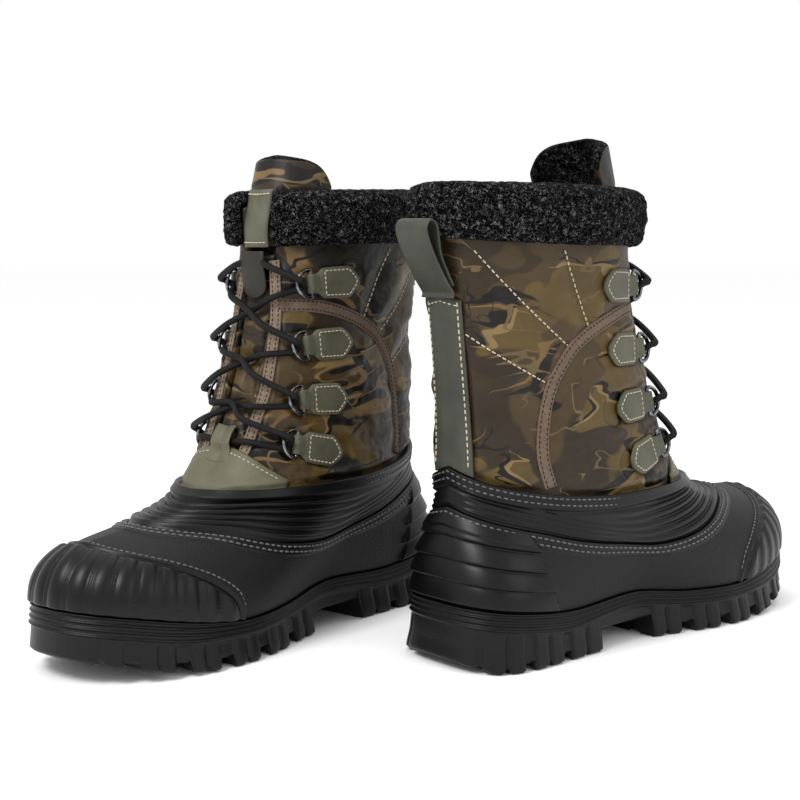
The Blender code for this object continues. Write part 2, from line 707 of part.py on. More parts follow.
def main():
    clear_scene()
    parts = new_collection("insulated_boots")
    cutters = new_collection("cutters")
    materials = {
        "rubber": make_material("rubber", (0.012, 0.012, 0.013), 0.5),
        "camo": make_material("camo_nylon", (0.085, 0.06, 0.03), 0.55),
        "olive": make_material("olive_leather", (0.095, 0.09, 0.062), 0.55),
        "fleece": make_material("charcoal_fleece", (0.02, 0.02, 0.022), 0.95),
        "foam": make_material("footbed_foam", (0.05, 0.05, 0.05), 0.9),
        "lace": make_material("black_lace", (0.01, 0.01, 0.01), 0.75),
        "gunmetal": make_material("gunmetal", (0.08, 0.08, 0.085), 0.3, 1.0),
        "steel": make_material("spring_steel", (0.45, 0.45, 0.46), 0.35, 1.0),
    }
    for name, spec in BOOTS.items():
        add_boot(name, spec, parts, cutters, materials)


main()
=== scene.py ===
"""Looks of the insulated boots: the rubber feet, quilted shafts, fleece, leather trim, rings and laces.

Each boot is drawn in its own frame in millimetres, as in the CAD source: X forward from the back of the
heel, Y towards the lateral side, Z up. A station u runs once round the boot: 0 at the heel, 0.25 lateral,
0.5 at the front, 0.75 medial. A height v runs from 0 at the foot of the rubber or the shaft to 1 at its top.
"""
import json
import math

import bmesh
import bpy
import numpy as np
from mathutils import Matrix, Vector, noise


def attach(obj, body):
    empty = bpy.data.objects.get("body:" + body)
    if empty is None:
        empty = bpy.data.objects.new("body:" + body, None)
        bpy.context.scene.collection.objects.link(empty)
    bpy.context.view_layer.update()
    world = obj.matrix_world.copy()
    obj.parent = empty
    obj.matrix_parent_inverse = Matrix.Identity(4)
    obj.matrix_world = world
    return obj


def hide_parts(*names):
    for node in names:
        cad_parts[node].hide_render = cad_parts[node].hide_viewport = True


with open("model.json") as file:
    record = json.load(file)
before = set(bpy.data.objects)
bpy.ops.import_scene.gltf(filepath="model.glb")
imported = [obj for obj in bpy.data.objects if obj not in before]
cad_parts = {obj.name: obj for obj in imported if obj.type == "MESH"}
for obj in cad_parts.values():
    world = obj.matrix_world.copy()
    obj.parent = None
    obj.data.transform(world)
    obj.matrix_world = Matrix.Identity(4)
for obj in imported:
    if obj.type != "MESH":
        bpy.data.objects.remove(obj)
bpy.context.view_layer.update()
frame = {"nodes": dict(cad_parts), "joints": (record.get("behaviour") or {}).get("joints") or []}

MM = 0.001

# Driving sizes, the same as the CAD's, mm
SOLE_LENGTH = 318.0
WIDTH_STATIONS = (0.0, 0.12, 0.4, 0.68, 0.85, 1.0)
LATERAL_HALF_WIDTH = (45.5, 45.5, 43.5, 60.0, 57.0, 52.0)
MEDIAL_HALF_WIDTH = (45.5, 45.5, 40.5, 55.0, 54.0, 50.0)
HEEL_ROUND, HEEL_POWER = 0.16, 2.9
TOE_ROUND, TOE_POWER = 0.27, 2.3
TOE_INSET = 7.0
WELT_STATIONS = (0.0, 22.0, 75.0, 125.0, 175.0, 215.0, 243.0, 268.0, 290.0, 318.0)
WELT_HEIGHTS = (39.0, 36.0, 30.5, 32.5, 27.5, 26.5, 29.5, 34.0, 38.5, 43.5)
TOE_SPRING, TOE_LIFT_FROM, HEEL_BEVEL = 15.0, 0.72, 5.0
SOLE_FLARE, SOLE_WALL, SOLE_FLOOR = 3.5, 5.0, 18.0
CUFF_BACK, CUFF_FRONT, CUFF_HALF_WIDTH = 9.2, 204.6, 50.2
CUFF_HEIGHT_HEEL, CUFF_HEIGHT_SIDE, CUFF_HEIGHT_TOE = 120.2, 99.5, 95.6
TOP_BACK, TOP_FRONT, TOP_HALF_WIDTH = -1.0, 149.0, 48.3
BOOT_HEIGHT, TOP_DROP, RING_POWER = 288.8, 4.2, 0.9
THROAT, HINGE_V = 0.0405, 0.808
RING_WIRE, RING_HALF_HEIGHT, RING_DEPTH, RING_TILT, BAR_HEIGHT = 1.3, 9.1, 11.0, math.radians(15.0), 3.5
RING_BARS = ((0.350, 0.185), (0.3525, 0.338), (0.3625, 0.505), (0.3725, 0.690))
TAB_TIPS = ((0.2775, 0.121), (0.270, 0.317), (0.275, 0.497), (0.290, 0.688))
LACE_RADIUS = 2.1
LACE_CROSSINGS = ((0.29, 0.352, 0.335), (0.43, 0.485, 0.49), (0.575, 0.628, 0.655))
TREAD_GROOVES = (
    (30.0, 37.0, 7.0), (62.0, 69.0, 7.0), (98.0, 146.0, 13.0), (168.0, 178.0, 10.0),
    (199.0, 209.0, 10.0), (230.0, 240.0, 10.0), (260.0, 269.0, 8.5), (288.0, 296.0, 5.0))

ARCH_DEPTH, NOTCH_SHARE = 12.0, 0.62
CREASES = (6.0, 18.5, 49.5, 83.5, 157.0, 188.5, 219.5, 250.0, 278.5, 306.0)

# Trim drawn on the surfaces, as (u, v)
PIPING = ((0.435, 0.638), (0.345, 0.618), (0.2775, 0.575), (0.23, 0.52), (0.2, 0.45), (0.18, 0.38),
          (0.165, 0.286), (0.155, 0.16), (0.1575, 0.03))
FACING = ((0.4575, 0.77), (0.449, 0.70), (0.4375, 0.60), (0.4345, 0.533), (0.432, 0.462), (0.431, 0.39),
          (0.436, 0.31), (0.440, 0.235), (0.448, 0.16))
QUILTING = (((0.0725, 0.774), (0.145, 0.64), (0.222, 0.5)), ((0.2175, 0.789), (0.236, 0.68), (0.252, 0.57)),
            ((0.0475, 0.503), (0.115, 0.455), (0.18, 0.395)))


# ---------------------------------------------------------------- shape of the boot, for arrays of stations

def place(x, y, z):
    return np.stack(np.broadcast_arrays(x, y, z), axis=-1).astype(float)


def hermite(start, end, leave, arrive, f):
    square, cube = f * f, f * f * f
    return ((2 * cube - 3 * square + 1) * start + (cube - 2 * square + f) * leave
            + (3 * square - 2 * cube) * end + (cube - square) * arrive)


def eased(x, stations, values):
    """A smooth curve through the values, with no overshoot between stations."""
    stations, values = np.asarray(stations, float), np.asarray(values, float)
    steps = np.diff(stations)
    rise = np.diff(values) / steps
    both = rise[:-1] * rise[1:]
    middle = np.where(both > 0, 2 * both / np.where(both > 0, rise[:-1] + rise[1:], 1.0), 0.0)
    slope = np.concatenate([rise[:1], middle, rise[-1:]])
    i = np.clip(np.searchsorted(stations, x, side="right") - 1, 0, len(steps) - 1)
    f = (x - stations[i]) / steps[i]
    return hermite(values[i], values[i + 1], slope[i] * steps[i], slope[i + 1] * steps[i], f)


def smooth(x, low, high):
    """0 below low, 1 above high, and a smooth step between them."""
    f = np.clip((x - low) / (high - low), 0.0, 1.0)
    return f * f * (3 - 2 * f)


def share_of_step(x, edges):
    """How far x is, from 0 to 1, through the step between edges that it falls in."""
    level = np.clip(x, edges[0], edges[-1] - 1e-4)
    k = np.clip(np.searchsorted(edges, level, side="right") - 1, 0, len(edges) - 2)
    low, high = np.take(edges, k), np.take(edges, k + 1)
    return (level - low) / (high - low)


def off_heel_line(u):
    """Share of a turn between a station and the middle of the heel."""
    return np.minimum(np.mod(u, 1.0), 1 - np.mod(u, 1.0))


def hump(x, width):
    """A bell of height 1 round zero."""
    return np.exp(-(x / width) ** 2)


def station(u):
    """Share of the way from heel to toe, and which side: 1 lateral, -1 medial."""
    u = np.mod(u, 1.0)
    return np.where(u <= 0.5, 2 * u, 2 - 2 * u), np.where(u <= 0.5, 1.0, -1.0)


def shares(t):
    heel = np.clip(1 - 2 * t, 0, None) ** 1.5
    toe = np.clip(2 * t - 1, 0, None) ** 1.5
    return heel, 1 - heel - toe, toe


def sole_outline(u, inset=0.0):
    t, side = station(u)
    s = (1 - np.cos(np.pi * t)) / 2
    width = np.where(side > 0, eased(s, WIDTH_STATIONS, LATERAL_HALF_WIDTH),
                     eased(s, WIDTH_STATIONS, MEDIAL_HALF_WIDTH))
    heel = np.clip(1 - s / HEEL_ROUND, 0, 1)
    toe = np.clip(1 - (1 - s) / TOE_ROUND, 0, 1)
    rounding = (1 - heel ** HEEL_POWER) ** (1 / HEEL_POWER) * (1 - toe ** TOE_POWER) ** (1 / TOE_POWER)
    half = SOLE_LENGTH / 2
    x = half + (s * SOLE_LENGTH - half) * (half - inset) / half
    return x, side * width * rounding * (55.0 - inset) / 55.0 - TOE_INSET * s * s


def welt_height(u):
    """Height of the line where the rubber foot meets the sole."""
    return eased(sole_outline(u)[0], WELT_STATIONS, WELT_HEIGHTS)


def oval(u, back, front, half_width):
    t, side = station(u)
    x = back + (front - back) * (1 - np.cos(np.pi * t)) / 2
    return x, side * half_width * np.abs(np.sin(np.pi * t)) ** RING_POWER


def cuff_edge(u):
    heel, middle, toe = shares(station(u)[0])
    height = CUFF_HEIGHT_HEEL * heel + CUFF_HEIGHT_SIDE * middle + CUFF_HEIGHT_TOE * toe
    return place(*oval(u, CUFF_BACK, CUFF_FRONT, CUFF_HALF_WIDTH), height)


def rubber_point(u, v):
    """Outer surface of the rubber foot, from the welt to the cuff edge."""
    t, side = station(u)
    heel, middle, toe = shares(t)
    leave = place(-4.0 * heel, 24.7 * middle * side, 90 * heel + 70 * middle + 162 * toe)
    arrive = place(6 * heel - 25 * middle - 116 * toe, -12 * middle * side,
                   90 * heel + 80 * middle + 77 * toe)
    return hermite(place(*sole_outline(u), welt_height(u)), cuff_edge(u), leave, arrive,
                   np.asarray(v)[..., None])


def shaft_point(u, v):
    """Outer surface of the shaft, from the cuff edge to the top."""
    t, side = station(u)
    heel, middle, toe = shares(t)
    top = place(*oval(u, TOP_BACK, TOP_FRONT, TOP_HALF_WIDTH), BOOT_HEIGHT - TOP_DROP * t)
    leave = place(14.6 * heel - 20 * middle - 148 * toe, -37 * middle * side,
                  150 * heel + 120 * middle + 69 * toe)
    arrive = place(12 * heel + 38 * toe, 31 * middle * side, 150.0)
    return hermite(cuff_edge(u), top, leave, arrive, np.asarray(v)[..., None])


def unit(vectors):
    return vectors / np.linalg.norm(vectors, axis=-1, keepdims=True)


def steps_at(surface, u, v, step=0.004):
    """How far a surface moves, in mm, for a unit of u and a unit of v."""
    return ((surface(u + step, v) - surface(u - step, v)) / (2 * step),
            (surface(u, v + step) - surface(u, v - step)) / (2 * step))


def upward_scale(surface, u, v):
    """How many mm a surface climbs for a unit of v."""
    return np.linalg.norm(steps_at(surface, u, v)[1], axis=-1)


def outward_at(surface, u, v):
    around, upward = steps_at(surface, u, v)
    return unit(np.cross(upward, around))


def raised(surface, u, v, height):
    u, v = np.broadcast_arrays(np.asarray(u, float), np.asarray(v, float))
    return surface(u, v) + outward_at(surface, u, v) * np.asarray(height)[..., None]


def moved(surface, u, v, direction, distance):
    """The station and height reached by going a distance along a surface in a direction."""
    slopes = np.array(steps_at(surface, u, v)).T
    shift = np.linalg.lstsq(slopes, direction * distance, rcond=None)[0]
    return u + shift[0], v + shift[1]


def distance_inside(test, surface, u, v):
    """Distance in mm from the line where a test of (u, v) is zero, positive where the test is."""
    step = 0.002
    around, upward = (np.linalg.norm(s, axis=-1) for s in steps_at(surface, u, v))
    slope_u = (test(u + step, v) - test(u - step, v)) / (2 * step) / around
    slope_v = (test(u, v + step) - test(u, v - step)) / (2 * step) / upward
    return test(u, v) / (np.hypot(slope_u, slope_v) + 1e-6)


def seam_height(u):
    """Height, as a share of the rubber foot, of the stitched seam under the cuff."""
    return eased(station(u)[0], (0.0, 0.25, 0.5, 0.64, 0.8, 1.0), (0.72, 0.68, 0.51, 0.565, 0.645, 0.66))


def sole_rise(x):
    toe = np.clip((x / SOLE_LENGTH - TOE_LIFT_FROM) / (1 - TOE_LIFT_FROM), 0, None)
    return TOE_SPRING * toe ** 1.6 + HEEL_BEVEL * np.clip(1 - x / 16.0, 0, None) ** 1.5


def other_side(knots):
    return [(1 - k[0], *k[1:]) for k in knots]


# ---------------------------------------------------------------- lines and frames

def through(knots, per=14):
    """A smooth line through knots of any width, as many points as asked between each two."""
    k = np.asarray(knots, float)
    if len(k) == 2:
        return k[0] + (k[1] - k[0]) * np.linspace(0, 1, per + 1)[:, None]
    ends = np.concatenate([[2 * k[0] - k[1]], k, [2 * k[-1] - k[-2]]])
    f = np.linspace(0, 1, per, endpoint=False)[:, None]
    out = [hermite(ends[i], ends[i + 1], (ends[i + 1] - ends[i - 1]) / 2, (ends[i + 2] - ends[i]) / 2, f)
           for i in range(1, len(ends) - 2)]
    return np.concatenate([*out, k[-1:]])


def lengths(points):
    return np.concatenate([[0.0], np.cumsum(np.linalg.norm(np.diff(points, axis=0), axis=1))])


def spaced(line, points, pitch, margin=0.0):
    """The line read again at even steps of about pitch along the points."""
    s = lengths(points)
    count = max(int(round((s[-1] - 2 * margin) / pitch)), 1)
    at = np.linspace(margin, s[-1] - margin, count + 1)
    return np.stack([np.interp(at, s, line[:, k]) for k in range(line.shape[1])], axis=-1)


def trace(surface, knots, pitch, margin=0.0):
    """Even (u, v) steps along a smooth line drawn on a surface."""
    line = through(knots)
    return spaced(line, surface(line[:, 0], line[:, 1]), pitch, margin)


def nearness(points, lines):
    """Distance in mm from each point to the nearest of the lines."""
    flat = points.reshape(-1, 3)
    best = np.full(len(flat), 1e9)
    for line in lines:
        for start in range(0, len(flat), 20000):
            block = flat[start:start + 20000]
            d = np.linalg.norm(block[:, None] - line[None], axis=2).min(axis=1)
            best[start:start + 20000] = np.minimum(best[start:start + 20000], d)
    return best.reshape(points.shape[:-1])


def rough(points, scale, seed):
    """Smooth noise from -1 to 1 at points in mm, with features of about scale mm."""
    shift = Vector((seed * 13.7, seed * 5.3, seed * 9.1))
    flat = points.reshape(-1, 3) / scale
    values = [noise.noise(Vector(p) + shift) for p in flat]
    return np.array(values).reshape(points.shape[:-1])


# ---------------------------------------------------------------- materials

def rgb(hex_code):
    """Linear colour from a hex code."""
    parts = [int(hex_code[i:i + 2], 16) / 255 for i in (0, 2, 4)]
    return tuple(p / 12.92 if p < 0.04045 else ((p + 0.055) / 1.055) ** 2.4 for p in parts)


class Shader:
    """A small helper that builds one node material."""

    def __init__(self, name, roughness, metallic=0.0, **sockets):
        self.material = bpy.data.materials.new(name)
        self.material.use_nodes = True
        self.tree = self.material.node_tree
        self.out = self.tree.nodes["Principled BSDF"]
        self.set(self.out, Roughness=roughness, Metallic=metallic, **sockets)
        self.coords = self.tree.nodes.new("ShaderNodeTexCoord").outputs["Object"]

    def set(self, node, **sockets):
        for key, value in sockets.items():
            node.inputs[key.replace("_", " ")].default_value = value
        return node

    def link(self, source, target):
        self.tree.links.new(source, target)

    def mapping(self, scale=(1, 1, 1), turn=(0, 0, 0), move=(0, 0, 0)):
        node = self.tree.nodes.new("ShaderNodeMapping")
        self.set(node, Scale=scale, Rotation=turn, Location=move)
        self.link(self.coords, node.inputs["Vector"])
        return node.outputs["Vector"]

    def noise(self, vector, size_mm, detail=2.0, distortion=0.0, roughness=0.5):
        node = self.tree.nodes.new("ShaderNodeTexNoise")
        self.set(node, Scale=1000.0 / size_mm, Detail=detail, Distortion=distortion, Roughness=roughness)
        self.link(vector, node.inputs["Vector"])
        return node.outputs["Fac"]

    def cells(self, vector, size_mm):
        node = self.tree.nodes.new("ShaderNodeTexVoronoi")
        self.set(node, Scale=1000.0 / size_mm)
        self.link(vector, node.inputs["Vector"])
        return node.outputs["Distance"]

    def ramp(self, value, *stops):
        """A ramp between two stops, each a position with a colour or a grey level."""
        node = self.tree.nodes.new("ShaderNodeValToRGB")
        for element, (position, colour) in zip(node.color_ramp.elements, stops):
            element.position = position
            element.color = (*colour, 1.0) if hasattr(colour, "__len__") else (colour, colour, colour, 1.0)
        self.link(value, node.inputs["Fac"])
        return node.outputs["Color"]

    def mix(self, factor, a, b, mode="MIX"):
        node = self.tree.nodes.new("ShaderNodeMix")
        node.data_type = "RGBA"
        node.blend_type = mode
        for value, socket in ((factor, node.inputs[0]), (a, node.inputs[6]), (b, node.inputs[7])):
            if isinstance(value, bpy.types.NodeSocket):
                self.link(value, socket)
            else:
                socket.default_value = (*value, 1.0) if hasattr(value, "__len__") else value
        return node.outputs[2]

    def math(self, kind, *values):
        node = self.tree.nodes.new("ShaderNodeMath")
        node.operation = kind
        for value, socket in zip(values, node.inputs):
            if isinstance(value, bpy.types.NodeSocket):
                self.link(value, socket)
            else:
                socket.default_value = value
        return node.outputs[0]

    def attribute(self, name):
        node = self.tree.nodes.new("ShaderNodeAttribute")
        node.attribute_name = name
        return node.outputs["Fac"]

    def bump(self, height, depth_mm, strength=1.0, below=None):
        node = self.tree.nodes.new("ShaderNodeBump")
        self.set(node, Distance=depth_mm * MM, Strength=strength)
        self.link(height, node.inputs["Height"])
        if below is not None:
            self.link(below, node.inputs["Normal"])
        return node.outputs["Normal"]

    def finish(self, colour=None, roughness=None, normal=None):
        for value, name in ((colour, "Base Color"), (roughness, "Roughness"), (normal, "Normal")):
            if value is not None:
                self.link(value, self.out.inputs[name])
        return self.material


def make_rubber():
    """Black moulded rubber: pebbled and matte on the flats, smooth and glossier on the ribs."""
    s = Shader("black_rubber", 0.48, Specular_IOR_Level=0.24)
    gloss = s.attribute("gloss")
    pebbles = s.cells(s.mapping(), 1.5)
    grain = s.noise(s.mapping(), 0.9, 3.0)
    smear = s.noise(s.mapping(), 45.0, 3.0)
    colour = s.mix(smear, rgb("060606"), rgb("0d0d0d"))
    colour = s.mix(gloss, colour, rgb("040404"))
    rough_side = s.math("MULTIPLY_ADD", smear, 0.12, 0.5)
    roughness = s.math("SUBTRACT", rough_side, s.math("MULTIPLY", gloss, 0.2))
    height = s.math("ADD", s.math("MULTIPLY", pebbles, 0.7), s.math("MULTIPLY", grain, 0.5))
    flat = s.math("MULTIPLY", height, s.math("SUBTRACT", 1.0, s.math("MULTIPLY", gloss, 0.9)))
    return s.finish(colour, roughness, s.bump(flat, 0.35, 0.8))


def make_camo():
    """Satin nylon printed with broad brown and olive fields, dark branches and golden strokes beside them."""
    s = Shader("camo_nylon", 0.5, Specular_IOR_Level=0.26)

    def above(value, level, soft=0.008):
        return s.ramp(value, (level - soft, 0.0), (level + soft, 1.0))

    def limbs(flow, centre, width, presence, offset=0.0):
        """A band along a level line of a flow, as wide as its presence and gone where that is low."""
        away = s.math("ABSOLUTE", s.math("SUBTRACT", flow, centre + offset))
        left = s.math("SUBTRACT", s.math("MULTIPLY", presence, width), away)
        return s.ramp(s.math("MULTIPLY", left, 60.0), (0.0, 0.0), (0.22, 1.0))

    fields = s.noise(s.mapping((1.0, 1.0, 1.4)), 105.0, 1.6, 0.5)
    lobes = s.noise(s.mapping((1.0, 1.0, 1.5), move=(0.21, 0.77, 0.4)), 62.0, 2.0, 0.4)
    flow = s.noise(s.mapping((0.8, 0.8, 1.7), turn=(0.35, 0.3, 0), move=(0.33, 0.14, 0.61)), 120.0, 2.6, 0.5)
    taper = s.noise(s.mapping((1.0, 1.0, 1.2), move=(0.5, 0.2, 0.9)), 52.0, 1.5, 0.2)
    twig = s.noise(s.mapping((0.8, 0.8, 2.0), turn=(-0.4, 0.35, 0), move=(0.72, 0.4, 0.11)), 95.0, 3.0, 0.6)
    patch = s.noise(s.mapping((1.0, 1.0, 1.3), move=(0.15, 0.66, 0.27)), 78.0, 2.4, 0.3)
    colour = s.mix(above(fields, 0.47), rgb("2b2013"), rgb("40321b"))
    colour = s.mix(above(lobes, 0.565), colour, rgb("54431f"))
    colour = s.mix(s.math("SUBTRACT", 1.0, above(lobes, 0.40)), colour, rgb("2f2313"))
    wide = s.ramp(taper, (0.45, 0.0), (0.62, 1.0))
    fine = s.ramp(lobes, (0.50, 0.0), (0.62, 1.0))
    colour = s.mix(limbs(flow, 0.5, 0.015, wide, 0.032), colour, rgb("6b5330"))
    colour = s.mix(limbs(twig, 0.52, 0.015, fine, 0.026), colour, rgb("7a6440"))
    colour = s.mix(above(patch, 0.622), colour, rgb("1b1a13"))
    colour = s.mix(limbs(flow, 0.5, 0.026, wide), colour, rgb("0e0905"))
    colour = s.mix(limbs(twig, 0.52, 0.018, fine), colour, rgb("0c0805"))
    fork = s.noise(s.mapping((0.9, 1.1, 1.9), turn=(0.6, -0.5, 0), move=(0.12, 0.93, 0.37)), 66.0, 2.5, 0.7)
    colour = s.mix(limbs(fork, 0.48, 0.015, s.ramp(patch, (0.46, 0.0), (0.58, 1.0))), colour, rgb("0e0905"))
    colour = s.mix(limbs(fork, 0.56, 0.013, s.ramp(taper, (0.50, 0.0), (0.62, 1.0))), colour, rgb("625134"))
    shade = s.noise(s.mapping((1, 1, 1.2)), 30.0, 2.0, 0.4)
    colour = s.mix(0.5, colour, s.ramp(shade, (0.3, 0.42), (0.7, 1.0)), "MULTIPLY")
    crease = s.noise(s.mapping((1, 1, 1.6)), 15.0, 3.0, 1.0)
    weave = s.noise(s.mapping(), 0.6, 1.0)
    normal = s.bump(weave, 0.08, 0.5, s.bump(crease, 1.3, 0.5))
    return s.finish(colour, s.math("MULTIPLY_ADD", shade, 0.14, 0.4), normal)


def make_leather(name, light, dark):
    """Grained leather, cloudy between two tones."""
    s = Shader(name, 0.52, Specular_IOR_Level=0.4)
    cloudy = s.noise(s.mapping(), 22.0, 3.0, 0.4)
    grain = s.cells(s.mapping(), 1.1)
    fine = s.noise(s.mapping(), 0.7, 2.0)
    colour = s.mix(s.ramp(cloudy, (0.3, 0.0), (0.7, 1.0)), rgb(dark), rgb(light))
    colour = s.mix(0.35, colour, s.ramp(grain, (0.0, 0.62), (0.5, 1.0)), "MULTIPLY")
    height = s.math("ADD", grain, s.math("MULTIPLY", fine, 0.5))
    roughness = s.math("MULTIPLY_ADD", cloudy, 0.16, 0.44)
    return s.finish(colour, roughness, s.bump(height, 0.22, 0.7))


def make_fleece(name, dark, fleck):
    """Curly fleece: tight dark curls with pale grey flecks, and painted shade darkening the hollows between
    the curls.
    """
    size = 3.2
    s = Shader(name, 0.95, Specular_IOR_Level=0.05)
    curl = s.noise(s.mapping(), size, 3.0, 2.5, 0.65)
    curl_cells_and_hollow_shade = s.cells(s.mapping(), size * 1.2)
    flecks = s.noise(s.mapping(), size * 0.62, 2.0, 2.0, 0.6)
    colour = s.mix(s.ramp(flecks, (0.53, 0.0), (0.60, 1.0)), rgb(dark), rgb(fleck))
    # Painted shade: the colour is darkened towards the edges of the curl cells, in the hollows that the bump
    # sinks between the curls.
    colour = s.mix(0.9, colour, s.ramp(curl_cells_and_hollow_shade, (0.1, 1.0), (0.65, 0.12)), "MULTIPLY")
    height = s.math("SUBTRACT", curl, s.math("MULTIPLY", curl_cells_and_hollow_shade, 0.8))
    return s.finish(colour, None, s.bump(height, 2.0, 1.0))


def make_woven(name, light, dark, size=0.9, roughness=0.75):
    """Narrow woven tape, thread or felt."""
    s = Shader(name, roughness, Specular_IOR_Level=0.3)
    threads = s.noise(s.mapping(), size, 2.0, 0.6)
    patch = s.noise(s.mapping(), 14.0, 2.0)
    colour = s.mix(s.ramp(threads, (0.35, 0.0), (0.65, 1.0)), rgb(dark), rgb(light))
    colour = s.mix(0.3, colour, s.ramp(patch, (0.3, 0.6), (0.7, 1.0)), "MULTIPLY")
    return s.finish(colour, None, s.bump(threads, 0.25, 0.8))


def make_metal(name, light, dark, roughness):
    s = Shader(name, roughness, metallic=1.0)
    wear = s.noise(s.mapping(), 3.0, 3.0)
    colour = s.mix(s.ramp(wear, (0.35, 0.0), (0.7, 1.0)), rgb(dark), rgb(light))
    rough_metal = s.math("MULTIPLY_ADD", wear, 0.18, roughness - 0.08)
    return s.finish(colour, rough_metal, s.bump(wear, 0.05, 0.3))


def make_lace_cord():
    s = Shader("black_lace", 0.7, Specular_IOR_Level=0.25)
    threads = s.noise(s.mapping(), 0.8, 2.0, 1.0)
    colour = s.mix(s.ramp(threads, (0.35, 0.0), (0.65, 1.0)), rgb("020202"), rgb("0a0a0a"))
    return s.finish(colour, None, s.bump(threads, 0.3, 0.8))


M = {
    "rubber": make_rubber(),
    "camo": make_camo(),
    "olive": make_leather("olive_leather", "545443", "424234"),
    "patch": make_leather("patch_leather", "5a5943", "4a4936"),
    "stay": make_leather("stay_leather", "383a2f", "2b2d24"),
    "fleece": make_fleece("charcoal_fleece", "030303", "6f6f70"),
    "lining": make_fleece("lining_fleece", "070707", "5a5a5c"),
    "felt": make_woven("footbed_felt", "3a3a3c", "1e1e20", 1.4, 0.95),
    "taupe": make_woven("taupe_tape", "6e5c4d", "54463a"),
    "facing": make_woven("facing_tape", "877563", "66574a"),
    "cream": make_woven("cream_thread", "cfc5ad", "9f967f", 0.5),
    "dark_thread": make_woven("dark_thread", "1d1813", "0c0a08", 0.5),
    # Black thread coloured mid and dark grey: painted highlight, the light that catches the black stitches
    # put into their colour.
    "black_thread": make_woven("black_thread", "737373", "343434", 0.5, 0.5),
    "strip": make_leather("strip_leather", "1c190f", "13110a"),
    "lace": make_lace_cord(),
    "gunmetal": make_metal("dark_nickel", "8f9094", "4b4c50", 0.24),
    "steel": make_metal("shank_steel", "b5b6b8", "8a8b8e", 0.35),
}


# ---------------------------------------------------------------- one boot's placement and meshes

class Boot:
    """Where one boot stands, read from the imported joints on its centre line."""

    def __init__(self, name):
        self.name = name
        self.mirror = 1.0 if name == "left" else -1.0
        pivots = {j["name"]: j["pos_m"] for j in frame["joints"] if "pos_m" in j}
        heel = np.array(pivots[f"{name}_heel_loop_bend"][:2]) * 1000
        front = np.array(pivots[f"{name}_tongue_bend"][:2]) * 1000
        self.forward = unit(front - heel)
        self.centre = heel + self.forward * (SOLE_LENGTH / 2 + 2.2)
        self.body = f"{name}_boot"
        self.stitches = {}

    def world(self, points):
        x, y, z = points[..., 0] - SOLE_LENGTH / 2, points[..., 1] * self.mirror, points[..., 2]
        fx, fy = self.forward
        return np.stack([self.centre[0] + x * fx - y * fy, self.centre[1] + x * fy + y * fx, z], -1) * MM

    def piece(self, name, points, faces, material, body=None, node=None, gloss=None, sharp=None):
        """A shown piece from points in the boot's frame, turned outside out, riding on its body."""
        world = self.world(points.reshape(-1, 3))
        quads = faces if isinstance(faces, np.ndarray) else None
        if quads is not None:
            a, b, c, d = (world[quads[:, k]] for k in range(4))
            volume = np.einsum("ij,ij->", a, np.cross(b, c)) + np.einsum("ij,ij->", a, np.cross(c, d))
            if volume < 0:
                quads = quads[:, ::-1]
            faces = quads.tolist()
        mesh = bpy.data.meshes.new(f"{self.name}_{name}")
        mesh.from_pydata(world.tolist(), [], faces)
        if quads is None:
            bm = bmesh.new()
            bm.from_mesh(mesh)
            bmesh.ops.recalc_face_normals(bm, faces=bm.faces)
            bm.to_mesh(mesh)
            bm.free()
        mesh.shade_smooth()
        if sharp:
            mesh.set_sharp_from_angle(angle=math.radians(sharp))
        if gloss is not None:
            layer = mesh.attributes.new("gloss", "FLOAT", "POINT")
            layer.data.foreach_set("value", np.asarray(gloss, np.float32).ravel())
        mesh.materials.append(M[material])
        item = bpy.data.objects.new(f"{self.name}_{name}", mesh)
        bpy.context.scene.collection.objects.link(item)
        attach(item, body or self.body)
        if node:
            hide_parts(f"{self.name}_{node}")
        return item

    def stitch(self, points, along, outward, colour, body=None, length=2.6, radius=0.55):
        """Keep stitches to be made later: a middle, a direction and a lift for each."""
        key = (colour, body or self.body)
        self.stitches.setdefault(key, []).append((points, unit(along), unit(outward), length, radius))

    def stitch_on(self, surface, line, height, colour, body=None, length=2.6, radius=0.55):
        """Stitches at each (u, v) of a line on a surface."""
        points = raised(surface, line[:, 0], line[:, 1], height)
        self.stitch(points, np.gradient(points, axis=0), outward_at(surface, line[:, 0], line[:, 1]), colour,
                    body, length, radius)


def ring_faces(sections, around, closed):
    """Quads between sections of points that each form a ring, with ladder caps on an open row's ends."""
    i = np.arange(sections if closed else sections - 1)[:, None]
    j = np.arange(around)[None]
    n, k = (i + 1) % sections, (j + 1) % around
    quads = np.stack([i * around + j, i * around + k, n * around + k, n * around + j], -1).reshape(-1, 4)
    if closed:
        return quads
    k = np.arange(around // 2 - 1)
    rungs = np.stack([k, k + 1, around - 2 - k, around - 1 - k], -1)
    return np.concatenate([quads, rungs[:, ::-1], rungs + (sections - 1) * around])


def rounded(count, share=0.02, floor=0.3):
    """Positions from 0 to 1 with extra ones near both ends, and how thick a wall is at each."""
    near = np.array([0.0, 0.25, 0.6, 1.0]) * share
    thick = np.array([floor, 0.72, 0.93, 1.0])
    inner = np.linspace(share, 1 - share, count)[1:-1]
    return (np.concatenate([near, inner, 1 - near[::-1]]),
            np.concatenate([thick, np.ones(len(inner)), thick[::-1]]))


def wall(surface, u, v, outside, inside, row_thick=None, column_thick=None):
    """Rings of a wall on a surface: up its outer side and down its inner side at each station."""
    outside, inside = np.broadcast_arrays(outside, inside)
    middle, half = (outside + inside) / 2, (outside - inside) / 2
    if row_thick is not None:
        half = half * row_thick[None]
    if column_thick is not None:
        half = half * column_thick[:, None]
    return np.concatenate([raised(surface, u, v, middle + half),
                           raised(surface, u, v, middle - half)[:, ::-1]], axis=1)


def add_wall(boot, name, rings, closed, material, **options):
    return boot.piece(name, rings, ring_faces(len(rings), rings.shape[1], closed), material, **options)


